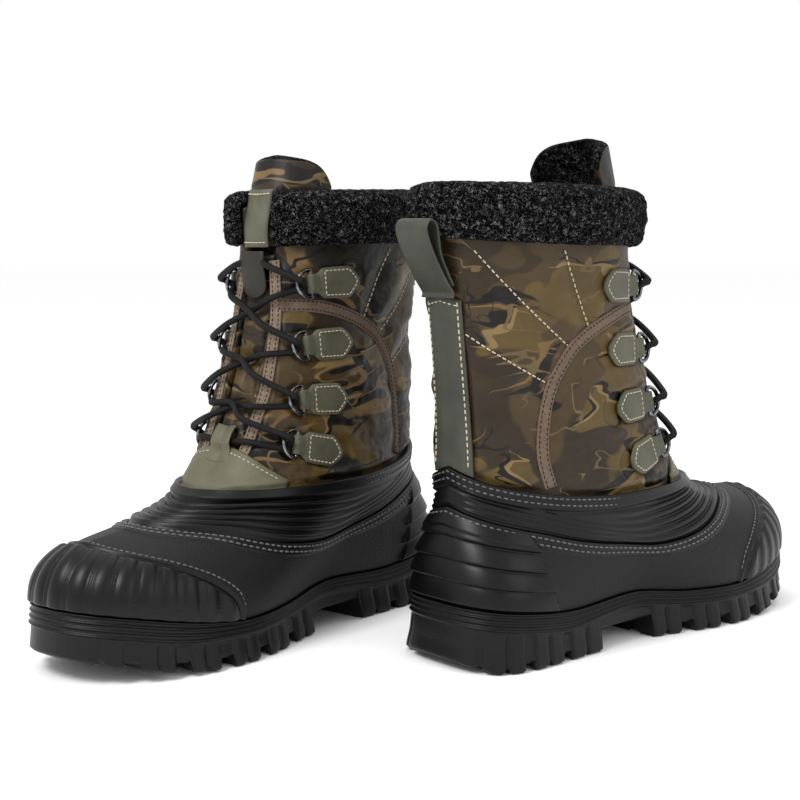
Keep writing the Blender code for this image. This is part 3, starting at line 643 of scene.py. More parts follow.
def tube(points, radius, sides=10, closed=False, braid=0.0):
    """Rings of a round tube along points, carried along without twisting."""
    if closed:
        along = unit(np.roll(points, -1, 0) - np.roll(points, 1, 0))
    else:
        along = unit(np.gradient(points, axis=0))
    side = unit(np.cross(along[0], (0.3, 0.2, 1.0)))
    sides_at = []
    for direction in along:
        side = unit(side - direction * side.dot(direction))
        sides_at.append(side)
    across = np.array(sides_at)
    other = np.cross(along, across)
    angle = np.arange(sides) * 2 * np.pi / sides
    size = np.full((len(points), sides), radius)
    if braid:
        run = lengths(points)[:, None]
        size = radius * (1 + braid * np.sin(run * 2.1 + 2 * angle) * np.sin(run * 2.1 - 2 * angle))
    return points[:, None] + size[..., None] * (across[:, None] * np.cos(angle)[None, :, None]
                                                + other[:, None] * np.sin(angle)[None, :, None])


def band(points, outward, half_width, thickness, sides):
    """Rings of a strap with rounded edges: a flattened oval across each point of its centre line."""
    along = unit(np.gradient(points, axis=0))
    across = unit(np.cross(outward, along))
    outward = unit(np.cross(along, across))
    angle = (np.arange(sides) + 0.5) * 2 * np.pi / sides
    cos, sin = np.cos(angle), np.sin(angle)
    flat_x = np.sign(cos) * np.abs(cos) ** 0.35
    flat_y = np.sign(sin) * np.abs(sin) ** 0.7
    half_width = np.broadcast_to(half_width, len(points))[:, None, None]
    thickness = np.broadcast_to(thickness, len(points))[:, None, None]
    return (points[:, None] + across[:, None] * flat_x[None, :, None] * half_width
            + outward[:, None] * flat_y[None, :, None] * thickness / 2)


# ---------------------------------------------------------------- rubber foot and sole

CAP_REACH, CAP_HEIGHT = 0.37, 0.38
CAP_POWERS = 3.2, 2.2
FLUTE_PITCH, FAN_CENTRE = 13.6, (222.0, -6.0)
SHINGLES = (0.01, 0.165, 0.325, 0.5, 0.675)
RIB_COUNT, RIB_FOOT, RIB_TOP, RIB_HEIGHT = 5.5, 0.03, 0.80, 2.9
EDGE_BAND = 9.5


def flute_phase(u, v):
    """Share of the way across a flute: the flutes stand on upright planes that fan out from a point."""
    turn = np.linspace(0.25, 0.75, 1201)
    x, y = sole_outline(turn)
    angle = np.arctan2(y - FAN_CENTRE[1], x - FAN_CENTRE[0])
    arc = lengths(np.stack([x, y], -1))
    arc -= np.interp(0.5, turn, arc)
    point = rubber_point(*np.broadcast_arrays(u, v))
    at = np.arctan2(point[..., 1] - FAN_CENTRE[1], point[..., 0] - FAN_CENTRE[0])
    run = np.interp(at, angle[::-1], arc[::-1]) / FLUTE_PITCH
    return run - np.floor(run)


def cap_test(u, v):
    """Above zero on the toe cap."""
    t = station(u)[0]
    along, up = np.clip((1 - t) / CAP_REACH, 0, None), np.clip(v / CAP_HEIGHT, 0, None)
    return 1 - along ** CAP_POWERS[0] - up ** CAP_POWERS[1]


def foot_relief(u, v):
    """Height of the moulded detail on the rubber foot, and how glossy it is."""
    up_scale = upward_scale(rubber_point, u, v)
    around_scale = np.linalg.norm(steps_at(rubber_point, u, v)[0], axis=-1)
    cap = np.clip(distance_inside(cap_test, rubber_point, u, v), -30, 60)
    phase = flute_phase(u, v)
    bulge = np.clip(1 - np.abs(2 * phase - 1) ** 2.2, 0, 1) ** 0.6
    ridge = hump(np.minimum(phase, 1 - phase) * FLUTE_PITCH, 1.1)
    tops = smooth(cap, 2.4, 5.5) * smooth(v * up_scale, -0.5, 1.5)
    height = tops * (3.0 * bulge + 1.5 * ridge) - 0.4 * smooth(cap, 0, 2)
    height += 0.9 * smooth(cap, -2.6, -1.4) + 1.1 * hump(cap - 0.4, 1.3)

    rise = share_of_step(v, SHINGLES)
    front = 0.142 - 0.03 * v - 0.006 * rise
    shingle = smooth((front - off_heel_line(u)) * around_scale, 0.0, 3.0) * smooth(v, 0.0, 0.015)
    shingle *= smooth(0.69 - v, 0.0, 0.02)
    height += shingle * 3.0 * (1 - rise) ** 0.75 * smooth(rise, 0.0, 0.13)

    below_seam = (seam_height(u) - v) * up_scale
    flange = smooth(below_seam, 11.5, 10.0)
    height += 0.9 * flange
    gloss = np.clip(smooth(cap, -2, 1) + shingle + 0.7 * flange, 0, 1)
    return height, gloss


def add_rubber_foot(boot):
    around, rows = 1000, 104
    turn = np.linspace(0, 1, around, endpoint=False)
    u = (turn - 0.034 * np.sin(4 * np.pi * turn))[:, None]
    share, thick = rounded(rows, 0.02, 0.25)
    v = share[None] * seam_height(u)
    height, gloss = foot_relief(u, v)
    inside = np.minimum(height, 0) - 3.0
    rings = wall(rubber_point, u, v, height, inside, row_thick=thick)
    rings[:, 0, 2] = rings[:, -1, 2] = welt_height(u[:, 0]) - 0.6
    gloss = np.concatenate([gloss, gloss[:, ::-1]], axis=1)
    add_wall(boot, "rubber_foot", rings, True, "rubber", node="rubber_shell", gloss=gloss)

    line = [(k / 40, float(seam_height(np.array(k / 40)))) for k in range(41)]
    for drop in (3.2, 7.6):
        path = trace(rubber_point, line, 4.3)[:-1]
        up = upward_scale(rubber_point, path[:, 0], path[:, 1])
        path[:, 1] -= drop / up
        boot.stitch_on(rubber_point, path, 1.05, "black_thread", length=3.0, radius=0.62)
    edge = [(0.5 + side * CAP_REACH / 2 * f, CAP_HEIGHT * (1 - f ** CAP_POWERS[0]) ** (1 / CAP_POWERS[1]))
            for side, fs in ((-1, np.linspace(0.985, 0, 24)), (1, np.linspace(0.04, 0.985, 24))) for f in fs]
    path = trace(rubber_point, edge, 3.9)
    outer = path.copy()
    up = upward_scale(rubber_point, path[:, 0], path[:, 1])
    outer[:, 1] += 2.9 / up
    boot.stitch_on(rubber_point, outer, 0.35, "black_thread", length=2.8, radius=0.6)


def cuff_relief(u, f, span):
    """Bellows ribs over the instep, fine lines at the heel and the raised band at the edge."""
    t = station(u)[0]
    rib = (f - RIB_FOOT) / (RIB_TOP - RIB_FOOT)
    wave = 0.5 - 0.5 * np.cos(2 * np.pi * RIB_COUNT * np.clip(rib, 0, 1))
    height = RIB_HEIGHT * wave ** 0.85 * smooth(t, 0.40, 0.70)
    above_seam = f * span
    fine = sum(hump(above_seam - d, 0.9) for d in (3.0, 7.0, 11.0, 15.0))
    height += 0.75 * fine * smooth(t, 0.03, 0.09) * smooth(0.50 - t, 0.0, 0.14)
    below_edge = (1 - f) * span
    height += 1.0 * smooth(below_edge, EDGE_BAND + 0.9, EDGE_BAND - 0.3)
    height -= 0.6 * hump(below_edge - EDGE_BAND - 1.6, 1.2)
    height += 2.0 * np.clip(f - 0.5, 0, None) / 0.5
    return height - 0.6 * smooth(above_seam, 3.0, 0.0)


def add_bellows_cuff(boot):
    around, rows = 600, 88
    turn = np.linspace(0, 1, around, endpoint=False)
    u = turn[:, None]
    share, thick = rounded(rows, 0.03, 0.3)
    f = share[None]
    seam = seam_height(u)
    v = seam + f * (1 - seam)
    span = np.linalg.norm(rubber_point(u, np.ones_like(u)) - rubber_point(u, seam), axis=-1)
    height = cuff_relief(u, f, span)
    inside = np.broadcast_to(2.4 * np.clip(f - 0.5, 0, None) / 0.5 - 3.0, height.shape)
    rings = wall(rubber_point, u, v, height, inside, row_thick=thick)
    gloss = np.full(rings.shape[:2], 0.85)
    add_wall(boot, "bellows_cuff", rings, True, "rubber", node="shell_cuff", gloss=gloss)

    for drop in (2.4, 6.6):
        edge = [(k / 40, 0.985) for k in range(41)]
        path = trace(rubber_point, edge, 4.0)[:-1]
        up = upward_scale(rubber_point, path[:, 0], path[:, 1])
        path[:, 1] = 1 - drop / up
        boot.stitch_on(rubber_point, path, 3.1 - 0.12 * drop, "black_thread", length=2.7, radius=0.55)


def groove_depth(x):
    """Depth of the tread's grooves and creases: the arch as in the CAD, the rest shallower."""
    depth = np.zeros_like(x)
    for start, end, cut in TREAD_GROOVES:
        inside = (end - start) / 2 + 0.5 - np.abs(x - (start + end) / 2)
        shown = cut if cut > ARCH_DEPTH else NOTCH_SHARE * cut
        depth = np.maximum(depth, shown * np.clip(inside, 0, 1))
    for at in CREASES:
        depth = np.maximum(depth, 2.4 * hump(x - at, 1.5))
    return depth


def ridge_span(x):
    """Depth of the band of welt ridges below the welt line."""
    return eased(x, (0.0, 60.0, 110.0, 150.0, 220.0, 268.0, 318.0), (10.5, 10.5, 8.2, 7.6, 8.0, 11.4, 12.2))


def wall_relief(x, z, welt, bottom):
    """Welt ridges, buttress-like lugs with creases between them, and the rounded foot of each lug."""
    span = ridge_span(x)
    below = welt - z
    height = 0.5 * smooth(span + 2.0, below, below + 2.0)
    for share in (0.07, 0.37, 0.68, 1.0):
        height = height + 1.25 * hump(below - span * share, 0.85)
    lug = smooth(below, span + 1.6, span + 4.5)
    crease = np.zeros_like(x)
    for start, end, _ in TREAD_GROOVES:
        middle, half = (start + end) / 2, (end - start) / 2
        crease = np.maximum(crease, smooth(half + 1.2 - np.abs(x - middle), 0.0, 1.6))
    for at in CREASES:
        crease = np.maximum(crease, 0.9 * hump(x - at, 1.3))
    height = height + lug * (1.2 * smooth(z, 16.0, 3.0) - 1.5 * crease)
    return height - 2.0 * smooth(z - bottom, 2.2, 0.0) ** 1.5


def add_outsole(boot):
    base = (1 - np.cos(np.pi * np.linspace(0, 1, 236))) / 2
    edges = [x / SOLE_LENGTH for start, end, _ in TREAD_GROOVES
             for x in (start - 0.6, start + 0.5, end - 0.5, end + 0.6)]
    edges += [(x + off) / SOLE_LENGTH for x in CREASES for off in (-1.6, -0.8, 0.0, 0.8, 1.6)]
    s = np.sort(np.concatenate([base, edges]))
    lateral = np.arccos(1 - 2 * s) / (2 * np.pi)
    u = np.concatenate([lateral, 1 - lateral[-2:0:-1]])
    around, count = len(u), len(lateral)
    x, y = sole_outline(u)
    top = np.stack([x, y], -1)
    half = SOLE_LENGTH / 2
    foot = np.stack([half + (x - half) * (1 + SOLE_FLARE / half), y * (1 + SOLE_FLARE / 55.0)], -1)
    fine = np.stack(sole_outline(u + 0.004), -1) - np.stack(sole_outline(u - 0.004), -1)
    normal = unit(np.stack([fine[:, 1], -fine[:, 0]], -1))
    normal *= np.sign(np.einsum("ij,ij->i", normal, top - np.array([half, -2.0])))[:, None]
    bottom = sole_rise(x) + groove_depth(x)
    welt = welt_height(u)
    ledge = welt - ridge_span(x) - 2.0
    low = np.concatenate([[0.0, 0.03, 0.07], np.linspace(0.12, 1.0, 26)])
    high = np.linspace(0, 1, 44)[1:]
    z = np.concatenate([bottom[:, None] + (ledge - bottom)[:, None] * low[None],
                        ledge[:, None] + (welt - 0.4 - ledge)[:, None] * high[None]], axis=1)
    blend = (z / welt[:, None])[..., None]
    ring = foot[:, None] * (1 - blend) + top[:, None] * blend
    relief = wall_relief(x[:, None] + np.zeros_like(z), z, welt[:, None], bottom[:, None])
    ring = ring + normal[:, None] * relief[..., None]
    outer = np.concatenate([ring, z[..., None]], -1)
    lip = [place(*sole_outline(u, SOLE_WALL), level) for level in (welt - 0.4, SOLE_FLOOR + 0 * welt)]
    rings = np.concatenate([outer, np.stack(lip, 1)], 1)
    rows = rings.shape[1]
    points = rings.reshape(-1, 3).tolist()
    faces = []
    for i in range(around):
        n = (i + 1) % around
        for j in range(rows - 1):
            faces.append((i * rows + j, i * rows + j + 1, n * rows + j + 1, n * rows + j))
    across = 22
    shares_across = np.arange(1, across) / across
    tread, floor = [], []
    for k in range(count):
        a, b = k * rows, ((around - k) % around) * rows
        if a != b:
            start, end = np.array(points[a]), np.array(points[b])
            line = start + (end - start) * shares_across[:, None]
            line[:, 2] = tread_height(line[:, 0], line[:, 1])
            tread.append([a, *range(len(points), len(points) + across - 1), b])
            points.extend(line.tolist())
        else:
            tread.append([a] * (across + 1))
        floor.append((a + rows - 1, b + rows - 1))
    for low_row, high_row in zip(tread, tread[1:]):
        for q in range(across):
            faces.append(list(dict.fromkeys((low_row[q], low_row[q + 1], high_row[q + 1], high_row[q]))))
    for low_row, high_row in zip(floor, floor[1:]):
        faces.append(list(dict.fromkeys((*low_row, high_row[1], high_row[0]))))
    gloss = np.full(len(points), 0.6)
    boot.piece("lugged_sole", np.array(points), faces, "rubber", node="outsole", gloss=gloss, sharp=52)


def tread_height(x, y):
    """Underside: the cross grooves, a channel down the middle and small notches in each lug."""
    x, y = np.asarray(x, float), np.asarray(y, float)
    centre = -TOE_INSET * (x / SOLE_LENGTH) ** 2
    depth = groove_depth(x)
    channel = 5.0 * smooth(5.0 - np.abs(y - centre), 0, 1.5) * (x > 150)
    chevron = np.abs(np.mod(x + 0.35 * np.abs(y - centre), 15.0) - 7.5)
    cut = 3.0 * smooth(1.7 - chevron, 0, 0.8) * (np.abs(y - centre) < 36)
    return sole_rise(x) + np.maximum(depth, np.maximum(channel, cut))


# ---------------------------------------------------------------- padded shaft and its trim

def both_sides(lines):
    return [*lines, *(other_side(line) for line in lines)]


class Padding:
    """Heights of the quilted shaft: low along its seams, full between them, flat under the tabs."""

    def __init__(self, boot):
        self.seams = [self.line(k) for k in both_sides([PIPING, *QUILTING])]
        self.tape = [self.line(k) for k in both_sides([FACING])]
        tabs = [(RING_BARS[n], TAB_TIPS[n]) for n in range(4)]
        self.tabs = [self.line(k) for k in both_sides(tabs)]
        self.seed = 1.0 if boot.name == "left" else 4.0

    def line(self, knots):
        path = trace(shaft_point, knots, 3.0)
        return shaft_point(path[:, 0], path[:, 1])

    def height(self, u, v):
        points = shaft_point(u, v)
        seam = nearness(points, self.seams)
        tape = nearness(points, self.tape)
        tab = nearness(points, self.tabs)
        puff = 4.6 * (1 - np.exp(-(seam / 11.0) ** 1.3)) - 2.2
        folds = rough(points * np.array([1, 1, 2.4]), 26.0, self.seed)
        creases = rough(points * np.array([1, 1, 2.0]), 9.0, self.seed + 2)
        free = smooth(seam, 1.0, 9.0)
        height = puff + free * (1.5 * folds + 0.45 * creases)
        height += 0.35 * rough(points, 4.5, self.seed + 5) * free
        height += (0.2 - height) * smooth(13.5 - tab, 0, 5)
        height += (0.3 - height) * smooth(6.5 - tape, 0, 4)
        height += (0.0 - height) * smooth(0.058 - off_heel_line(u), 0, 0.014) * smooth(0.66 - v, 0, 0.05)
        height += (-0.2 - height) * smooth(v, 0.70, 0.79) * 0.75
        cover = smooth(patch_top(u) + 0.035 - v, 0.0, 0.035) * smooth(station(u)[0], 0.66, 0.71)
        height += (0.1 - height) * cover
        return height * smooth(v, 0.0, 0.05) - 1.5 * smooth(0.035 - v, 0, 0.03)


def shaft_stations(edge, count):
    """Stations from one throat edge to the other round the heel, with thin rounded ends."""
    share, thick = rounded(count, 0.008, 0.25)
    return -0.5 + edge + share * (1 - 2 * edge), thick


def add_shaft(boot, padding):
    turn, ends = shaft_stations(THROAT + 0.0005, 400)
    share, thick = rounded(130, 0.01, 0.35)
    u, v = turn[:, None], (-0.035 + share * 0.985)[None]
    height = padding.height(u + 0 * v, v + 0 * u)
    inside = -7.2 - 0.6 * smooth(0.08 - v, 0, 0.08) + 0 * u
    rings = wall(shaft_point, u, v, height, inside, row_thick=thick, column_thick=ends)
    item = add_wall(boot, "quilted_shaft", rings, False, "camo", node="shaft")


def add_band(boot, name, knots, padding, half_width, thickness, material, row_offset, lift):
    """A sewn band that follows a line on the shaft, with a row of stitches along each edge."""
    path = trace(shaft_point, knots, 2.2)
    height = padding.height(path[:, 0], path[:, 1]) + lift
    points = raised(shaft_point, path[:, 0], path[:, 1], height)
    outward = outward_at(shaft_point, path[:, 0], path[:, 1])
    rings = band(points, outward, half_width, thickness, 12)
    add_wall(boot, name, rings, False, material)
    along = unit(np.gradient(points, axis=0))
    across = unit(np.cross(outward, along))
    for row in (-row_offset, row_offset):
        line = points + across * row + outward * (thickness / 2 - 0.05)
        line = spaced(np.concatenate([line, outward], axis=1), line, 3.1, 1.5)
        boot.stitch(line[:, :3], np.gradient(line[:, :3], axis=0), line[:, 3:], "dark_thread",
                    length=2.0, radius=0.4)


def add_shaft_trim(boot, padding):
    for side, word in ((0, "lateral"), (1, "medial")):
        turned = other_side if side else list
        add_band(boot, f"piping_{word}", turned(PIPING), padding, 4.4, 1.9, "taupe", 2.6, 1.0)
        add_band(boot, f"facing_{word}", turned(FACING), padding, 3.9, 1.4, "facing", 2.0, 0.6)
        for line in QUILTING:
            path = trace(shaft_point, turned(line), 3.9, 1.0)
            height = padding.height(path[:, 0], path[:, 1]) + 0.45
            boot.stitch_on(shaft_point, path, height, "cream", length=2.7, radius=0.55)


STAY_HALF = 0.0455


def strap_wall(surface, us, vs, outside, thickness, share_round):
    """A leather piece on a surface with rounded edges: its stations, rows and heights."""
    column, column_thick = rounded(us[2], share_round, 0.3)
    row, row_thick = rounded(vs[2], share_round, 0.3)
    u = (us[0] + column * (us[1] - us[0]))[:, None]
    v = (vs[0] + row * (vs[1] - vs[0]))[None]
    top = outside(u + 0 * v, v + 0 * u)
    return wall(surface, u, v, top, top - thickness, row_thick=row_thick, column_thick=column_thick)


def add_back_stay(boot):
    rings = strap_wall(shaft_point, (-STAY_HALF, STAY_HALF, 40), (0.004, 0.612, 90),
                       lambda u, v: 2.5 + 0.25 * np.cos(u / STAY_HALF * 1.4), 2.0, 0.035)
    add_wall(boot, "back_stay_strip", rings, False, "stay", node="back_stay")
    for side in (-1, 1):
        line = trace(shaft_point, ((side * 0.0375, 0.05), (side * 0.0375, 0.35), (side * 0.0375, 0.596)), 4.0)
        boot.stitch_on(shaft_point, line, 2.75, "cream", length=2.7, radius=0.5)
    line = trace(shaft_point, ((-0.033, 0.592), (0.0, 0.592), (0.033, 0.592)), 3.6)
    boot.stitch_on(shaft_point, line, 2.85, "cream", length=2.4, radius=0.45)


def add_heel_loop(boot):
    """Doubled strap: its outer leg rises from the stay and its inner leg goes back under the collar."""
    knots = [(-2.4, 222.5), (-2.2, 226.0), (-8.2, 234.0), (-16.4, 247.0), (-22.0, 258.5), (-22.9, 264.6),
             (-19.6, 268.2), (-15.2, 265.6), (-13.4, 257.0), (-11.6, 248.0), (-6.2, 237.5), (-1.9, 230.0)]
    line = through(knots, 8)
    points = place(line[:, 0], 0.0, line[:, 1])
    along = unit(np.gradient(points, axis=0))
    outward = np.cross(along, (0.0, 1.0, 0.0))
    rings = band(points, outward, 14.0, 1.9, 14)
    add_wall(boot, "pull_loop", rings, False, "stay", body=f"{boot.name}_heel_loop_body", node="heel_loop")


def patch_top(u):
    t = station(u)[0]
    return 0.03 + 0.185 * np.sin(np.pi / 2 * np.clip((t - 0.70) / 0.30, 0, 1)) ** 0.9


def add_vamp_patch(boot):
    column, column_thick = rounded(110, 0.02, 0.3)
    row, row_thick = rounded(44, 0.04, 0.3)
    u = (0.353 + column * 0.294)[:, None]
    low = -0.012
    v = low + row[None] * (patch_top(u) - low)
    sink = 1.6 * smooth(0.035 - v, 0, 0.03)
    top = 2.75 + 0.5 * np.sin(row[None] * np.pi) - sink + 0 * u
    rings = wall(shaft_point, u, v, top, top - 2.0, row_thick=row_thick, column_thick=column_thick)
    add_wall(boot, "vamp_leather", rings, False, "patch", node="vamp_patch")
    edge = [(q, float(patch_top(np.array(q)) - 0.022)) for q in np.linspace(0.372, 0.628, 40)]
    boot.stitch_on(shaft_point, trace(shaft_point, edge, 3.2), 3.0, "cream", length=2.0, radius=0.42)

    rise = ((0.150, 3.2), (0.190, 3.9), (0.207, 6.0), (0.218, 7.4), (0.244, 7.7), (0.262, 7.0), (0.282, 5.6))
    keys = through(rise, 6)
    column, column_thick = rounded(20, 0.08, 0.4)
    u = (0.4735 + column * 0.053)[:, None]
    rings = wall(shaft_point, u, keys[:, 0][None], keys[:, 1][None] + 0 * u, keys[:, 1][None] - 1.7 + 0 * u,
                 column_thick=column_thick)
    add_wall(boot, "lace_keeper", rings, False, "patch")


# ---------------------------------------------------------------- tongue, collar and lining

PUFF_EDGES = (0.225, 0.352, 0.485, 0.628, 0.80)


def across_throat(count):
    """Stations across the tongue, closer where its face steps down under the shaft."""
    f = np.linspace(-1, 1, count)
    return 0.5 + 0.074 * f * (0.72 + 0.28 * f * f)


def tongue_height(u, v):
    """Height of the tongue's face: level under the shaft's edges, puffed between the lace runs."""
    off = np.abs(u - 0.5)
    inside = smooth(0.0405 - off, 0.0, 0.0045)
    f = share_of_step(v, PUFF_EDGES)
    puff = (1 - np.abs(2 * f - 1) ** 2.6) * np.clip(1 - (off / 0.036) ** 2.4, 0, 1) ** 0.8
    limit = np.where(v > 0.62, 0.45, 1.0)
    return -8.2 + inside * (6.0 + 5.2 * puff * limit)


def add_tongue(boot):
    u = across_throat(90)[:, None]
    thick_u = np.ones(90)
    thick_u[[0, -1]] = 0.4
    share, thick = rounded(110, 0.012, 0.35)
    v = (0.055 + share * (HINGE_V - 0.014 - 0.055))[None]
    height = tongue_height(u + 0 * v, v + 0 * u)
    points = shaft_point(u + 0 * v, v + 0 * u)
    height += 0.5 * rough(points, 9.0, 3.0) * smooth(height, -5, -2)
    rings = wall(shaft_point, u, v, height, -13.5 + 0 * height, row_thick=thick, column_thick=thick_u)
    item = add_wall(boot, "padded_tongue", rings, False, "camo", node="tongue")


FLAP_TURN = 0.55


class FlapSurface:
    """The tongue's free top: the shaft's surface to v 1, then straight up to its rounded edge."""

    def __init__(self, boot):
        self.top = 309.0 if boot.name == "left" else 318.0

    def __call__(self, u, f):
        f = np.asarray(f, float)
        v = HINGE_V + (1 - HINGE_V) * np.minimum(f / FLAP_TURN, 1.0)
        point = shaft_point(u, v)
        over = np.clip(f - FLAP_TURN, 0, None) / (1 - FLAP_TURN)
        off = np.abs(u - 0.5) / 0.168
        drop = 5.0 * off ** 2 + 17.0 * off ** 7
        rise = np.clip(over * (self.top - 1.0 - drop - point[..., 2]), 0, None)
        shift = place(-0.3 * rise, 0.0, rise)
        return point + shift


def add_tongue_flap(boot):
    surface = FlapSurface(boot)
    share, thick_u = rounded(110, 0.015, 0.3)
    u = (0.333 + share * 0.334)[:, None]
    rows, thick = rounded(70, 0.04, 0.35)
    f = (0.012 + rows * 0.985)[None]
    off = np.abs(u - 0.5) + 0 * f
    ridge = smooth(0.0395 - off, 0.0, 0.005)
    level = smooth(f, 0.36, 0.66)
    face = -13.2 + ridge * 11.6 * (1 - level) + 6.0 * level * np.clip(1 - (off / 0.16) ** 2, 0, 1)
    points = surface(u + 0 * f, f + 0 * u)
    face += 0.35 * rough(points, 10.0, 6.0)
    mid, half = (face - 18.0) / 2, (face + 18.0) / 2 * thick[None] * thick_u[:, None]
    out = outward_at(shaft_point, u + 0 * f, np.minimum(HINGE_V + (1 - HINGE_V) * f / FLAP_TURN, 1.0) + 0 * u)
    outer, inner = (points + out * (mid + sign * half)[..., None] for sign in (1, -1))
    rings = np.concatenate([outer, inner[:, ::-1]], axis=1)
    body = f"{boot.name}_tongue_flap_body"
    item = add_wall(boot, "tongue_top", rings, False, "camo", body=body, node="tongue_flap")
    item.data.materials.append(M["lining"])
    columns = rings.shape[1]
    index = np.zeros(len(item.data.polygons), np.int32)
    row_of = np.arange(len(index)) % columns
    body_faces = (len(rings) - 1) * columns
    index[:body_faces] = (row_of[:body_faces] >= columns // 2 - 3)
    item.data.polygons.foreach_set("material_index", index)
    add_label(boot, surface, body)


LABEL_HALF = 10.6


def add_label(boot, surface, body):
    """Blank leather label on the tongue's free top, with a row of stitches at each end."""
    f = np.linspace(0.02, 0.60, 40)
    v = np.minimum(HINGE_V + (1 - HINGE_V) * f / FLAP_TURN, 1.0)
    out = outward_at(shaft_point, np.full(40, 0.5), v)
    points = surface(np.full(40, 0.5), f) + out * (5.6 - 8.6 * smooth(f, 0.15, 0.62))[:, None]
    rings = band(points, out, LABEL_HALF, 1.9, 14)
    bend = rings - points[:, None]
    drop = (np.einsum("ijk,k->ij", bend, (0.0, 1.0, 0.0)) / LABEL_HALF) ** 2 * 3.2
    rings = rings - out[:, None] * drop[..., None]
    add_wall(boot, "tongue_label", rings, False, "olive", body=body)
    for k in (3, 36):
        y = np.linspace(-LABEL_HALF + 2.2, LABEL_HALF - 2.2, 8)
        row = points[k] + place(0.0, y, 0.0) + out[k] * (1.0 - (y / LABEL_HALF) ** 2 * 3.2)[:, None]
        boot.stitch(row, np.gradient(row, axis=0), np.repeat(out[k][None], 8, 0), "cream", body, 2.2, 0.45)


def add_strip(boot):
    """Dark leather strip hanging from the tongue's bend over the top crossing of the lace."""
    keys = through(((0.662, 3.6), (0.69, 4.9), (0.725, 6.6), (0.755, 8.3), (0.785, 8.6), (0.803, 8.4)), 8)
    out = outward_at(shaft_point, np.full(len(keys), 0.5), keys[:, 0])
    points = shaft_point(np.full(len(keys), 0.5), keys[:, 0]) + out * keys[:, 1:]
    run = lengths(points)
    width = 10.5 * np.sqrt(np.clip(1 - (1 - np.clip(run / 9.0, 0, 1)) ** 2, 0.02, 1))
    rings = band(points, out, width, 1.6, 14)
    bend = rings - points[:, None]
    rings = rings - out[:, None] * ((bend[..., 1] / 11.0) ** 2 * 1.6)[..., None]
    add_wall(boot, "tongue_strip", rings, False, "strip")


def add_collar(boot):
    """Fleece roll: a rounded section carried round the top edge, its surface in small curls."""
    turn, ends = shaft_stations(THROAT + 0.0025, 420)
    shape = through(((0.822, 2.0), (0.811, 4.6), (0.822, 8.2), (0.868, 10.6), (0.93, 10.6), (0.985, 8.4),
                     (1.009, 3.2), (1.014, -2.5), (1.004, -8.0), (0.984, -11.4)), 9)
    inner = through(((0.826, 1.4), (0.86, 1.4), (0.92, 1.4), (0.953, 1.2), (0.960, -1.0), (0.963, -5.0),
                     (0.966, -8.5), (0.972, -11.6)), 9)
    inner = spaced(inner, inner * np.array([200.0, 1.0]), 1.0)
    inner = np.stack([np.interp(np.linspace(0, 1, len(shape)), np.linspace(0, 1, len(inner)), inner[:, k])
                      for k in range(2)], -1)
    u = turn[:, None]
    swell = np.sqrt(np.clip(ends, 0, 1))[:, None]
    middle_v, middle_h = (shape + inner).T[:, None] / 2
    spread_v, spread_h = (shape - inner).T[:, None] / 2
    rings = []
    for sign in (1, -1):
        v, h = middle_v + sign * spread_v * swell, middle_h + sign * spread_h * swell
        points = raised(shaft_point, u, v, h)
        if sign > 0:
            out = outward_at(shaft_point, u + 0 * v, v + 0 * u)
            curls = (1.5 * rough(points, 3.6, 2.0) + 1.3 * rough(points, 8.0, 8.0)
                     + 1.5 * rough(points, 24.0, 9.0))
            points = points + out * curls[..., None]
            points[..., 2] += 0.5 * rough(points, 3.0, 5.0)
        rings.append(points)
    rings = np.concatenate([rings[0], rings[1][:, ::-1]], axis=1)
    item = add_wall(boot, "fleece_collar", rings, False, "fleece", node="collar")


LINING_LIFT, LINING_THICKNESS, FOOTBED_GAP = 2.8, 4.0, 0.35


def add_lining(boot):
    """Fleece sock lining: closed round the foot, open down the throat, with its floor under the footbed."""
    share = np.linspace(-1, 1, 150)
    count = 16
    reach = np.where(np.arange(count) < 7, 0.5, 0.405)
    skins = []
    for depth in (0.0, LINING_THICKNESS):
        floor = SOLE_FLOOR + LINING_LIFT
        layers = [place(*sole_outline(share * 0.5, inset), floor + depth) for inset in (48.0, 30.0, 14.0)]
        layers += [place(*sole_outline(share * 0.5, 6.5 + depth), floor + depth),
                   place(*sole_outline(share * 0.5, 6.0 + depth), floor + 14.6)]
        layers += [raised(rubber_point, share * reach[5 + k], v, -lift - depth)
                   for k, (v, lift) in enumerate(((0.25, 4.3), (0.55, 4.3), (0.86, 9.0)))]
        layers += [raised(shaft_point, share * 0.405, v, -(9.0 if v == 0 else 7.7) - depth)
                   for v in (0.0, 0.1, 0.2, 0.32, 0.46, 0.62, 0.79, 0.955)]
        columns = through([layer.reshape(-1) for layer in layers], 5)
        skins.append(columns.reshape(len(columns), -1, 3).transpose(1, 0, 2))
    rings = np.concatenate([skins[0], skins[1][:, ::-1]], axis=1)
    item = add_wall(boot, "fleece_lining", rings, False, "lining", node="liner")


def add_footbed(boot):
    """Loose cushioned insole with a rolled edge and a slight heel cup."""
    base = SOLE_FLOOR + LINING_LIFT + LINING_THICKNESS + FOOTBED_GAP
    u = np.linspace(0, 1, 160, endpoint=False)
    levels = ((40.0, 0.0), (13.2, 0.0), (12.5, 0.8), (12.4, 2.5), (12.7, 4.2), (13.8, 5.0), (17.0, 5.0),
              (24.0, 4.7), (32.0, 4.6), (42.0, 4.7))
    rings = np.stack([place(*sole_outline(u, inset), base + rise) for inset, rise in levels], 1)
    item = add_wall(boot, "felt_footbed", rings, True, "felt", node="footbed")


# ---------------------------------------------------------------- rings, tabs and lace

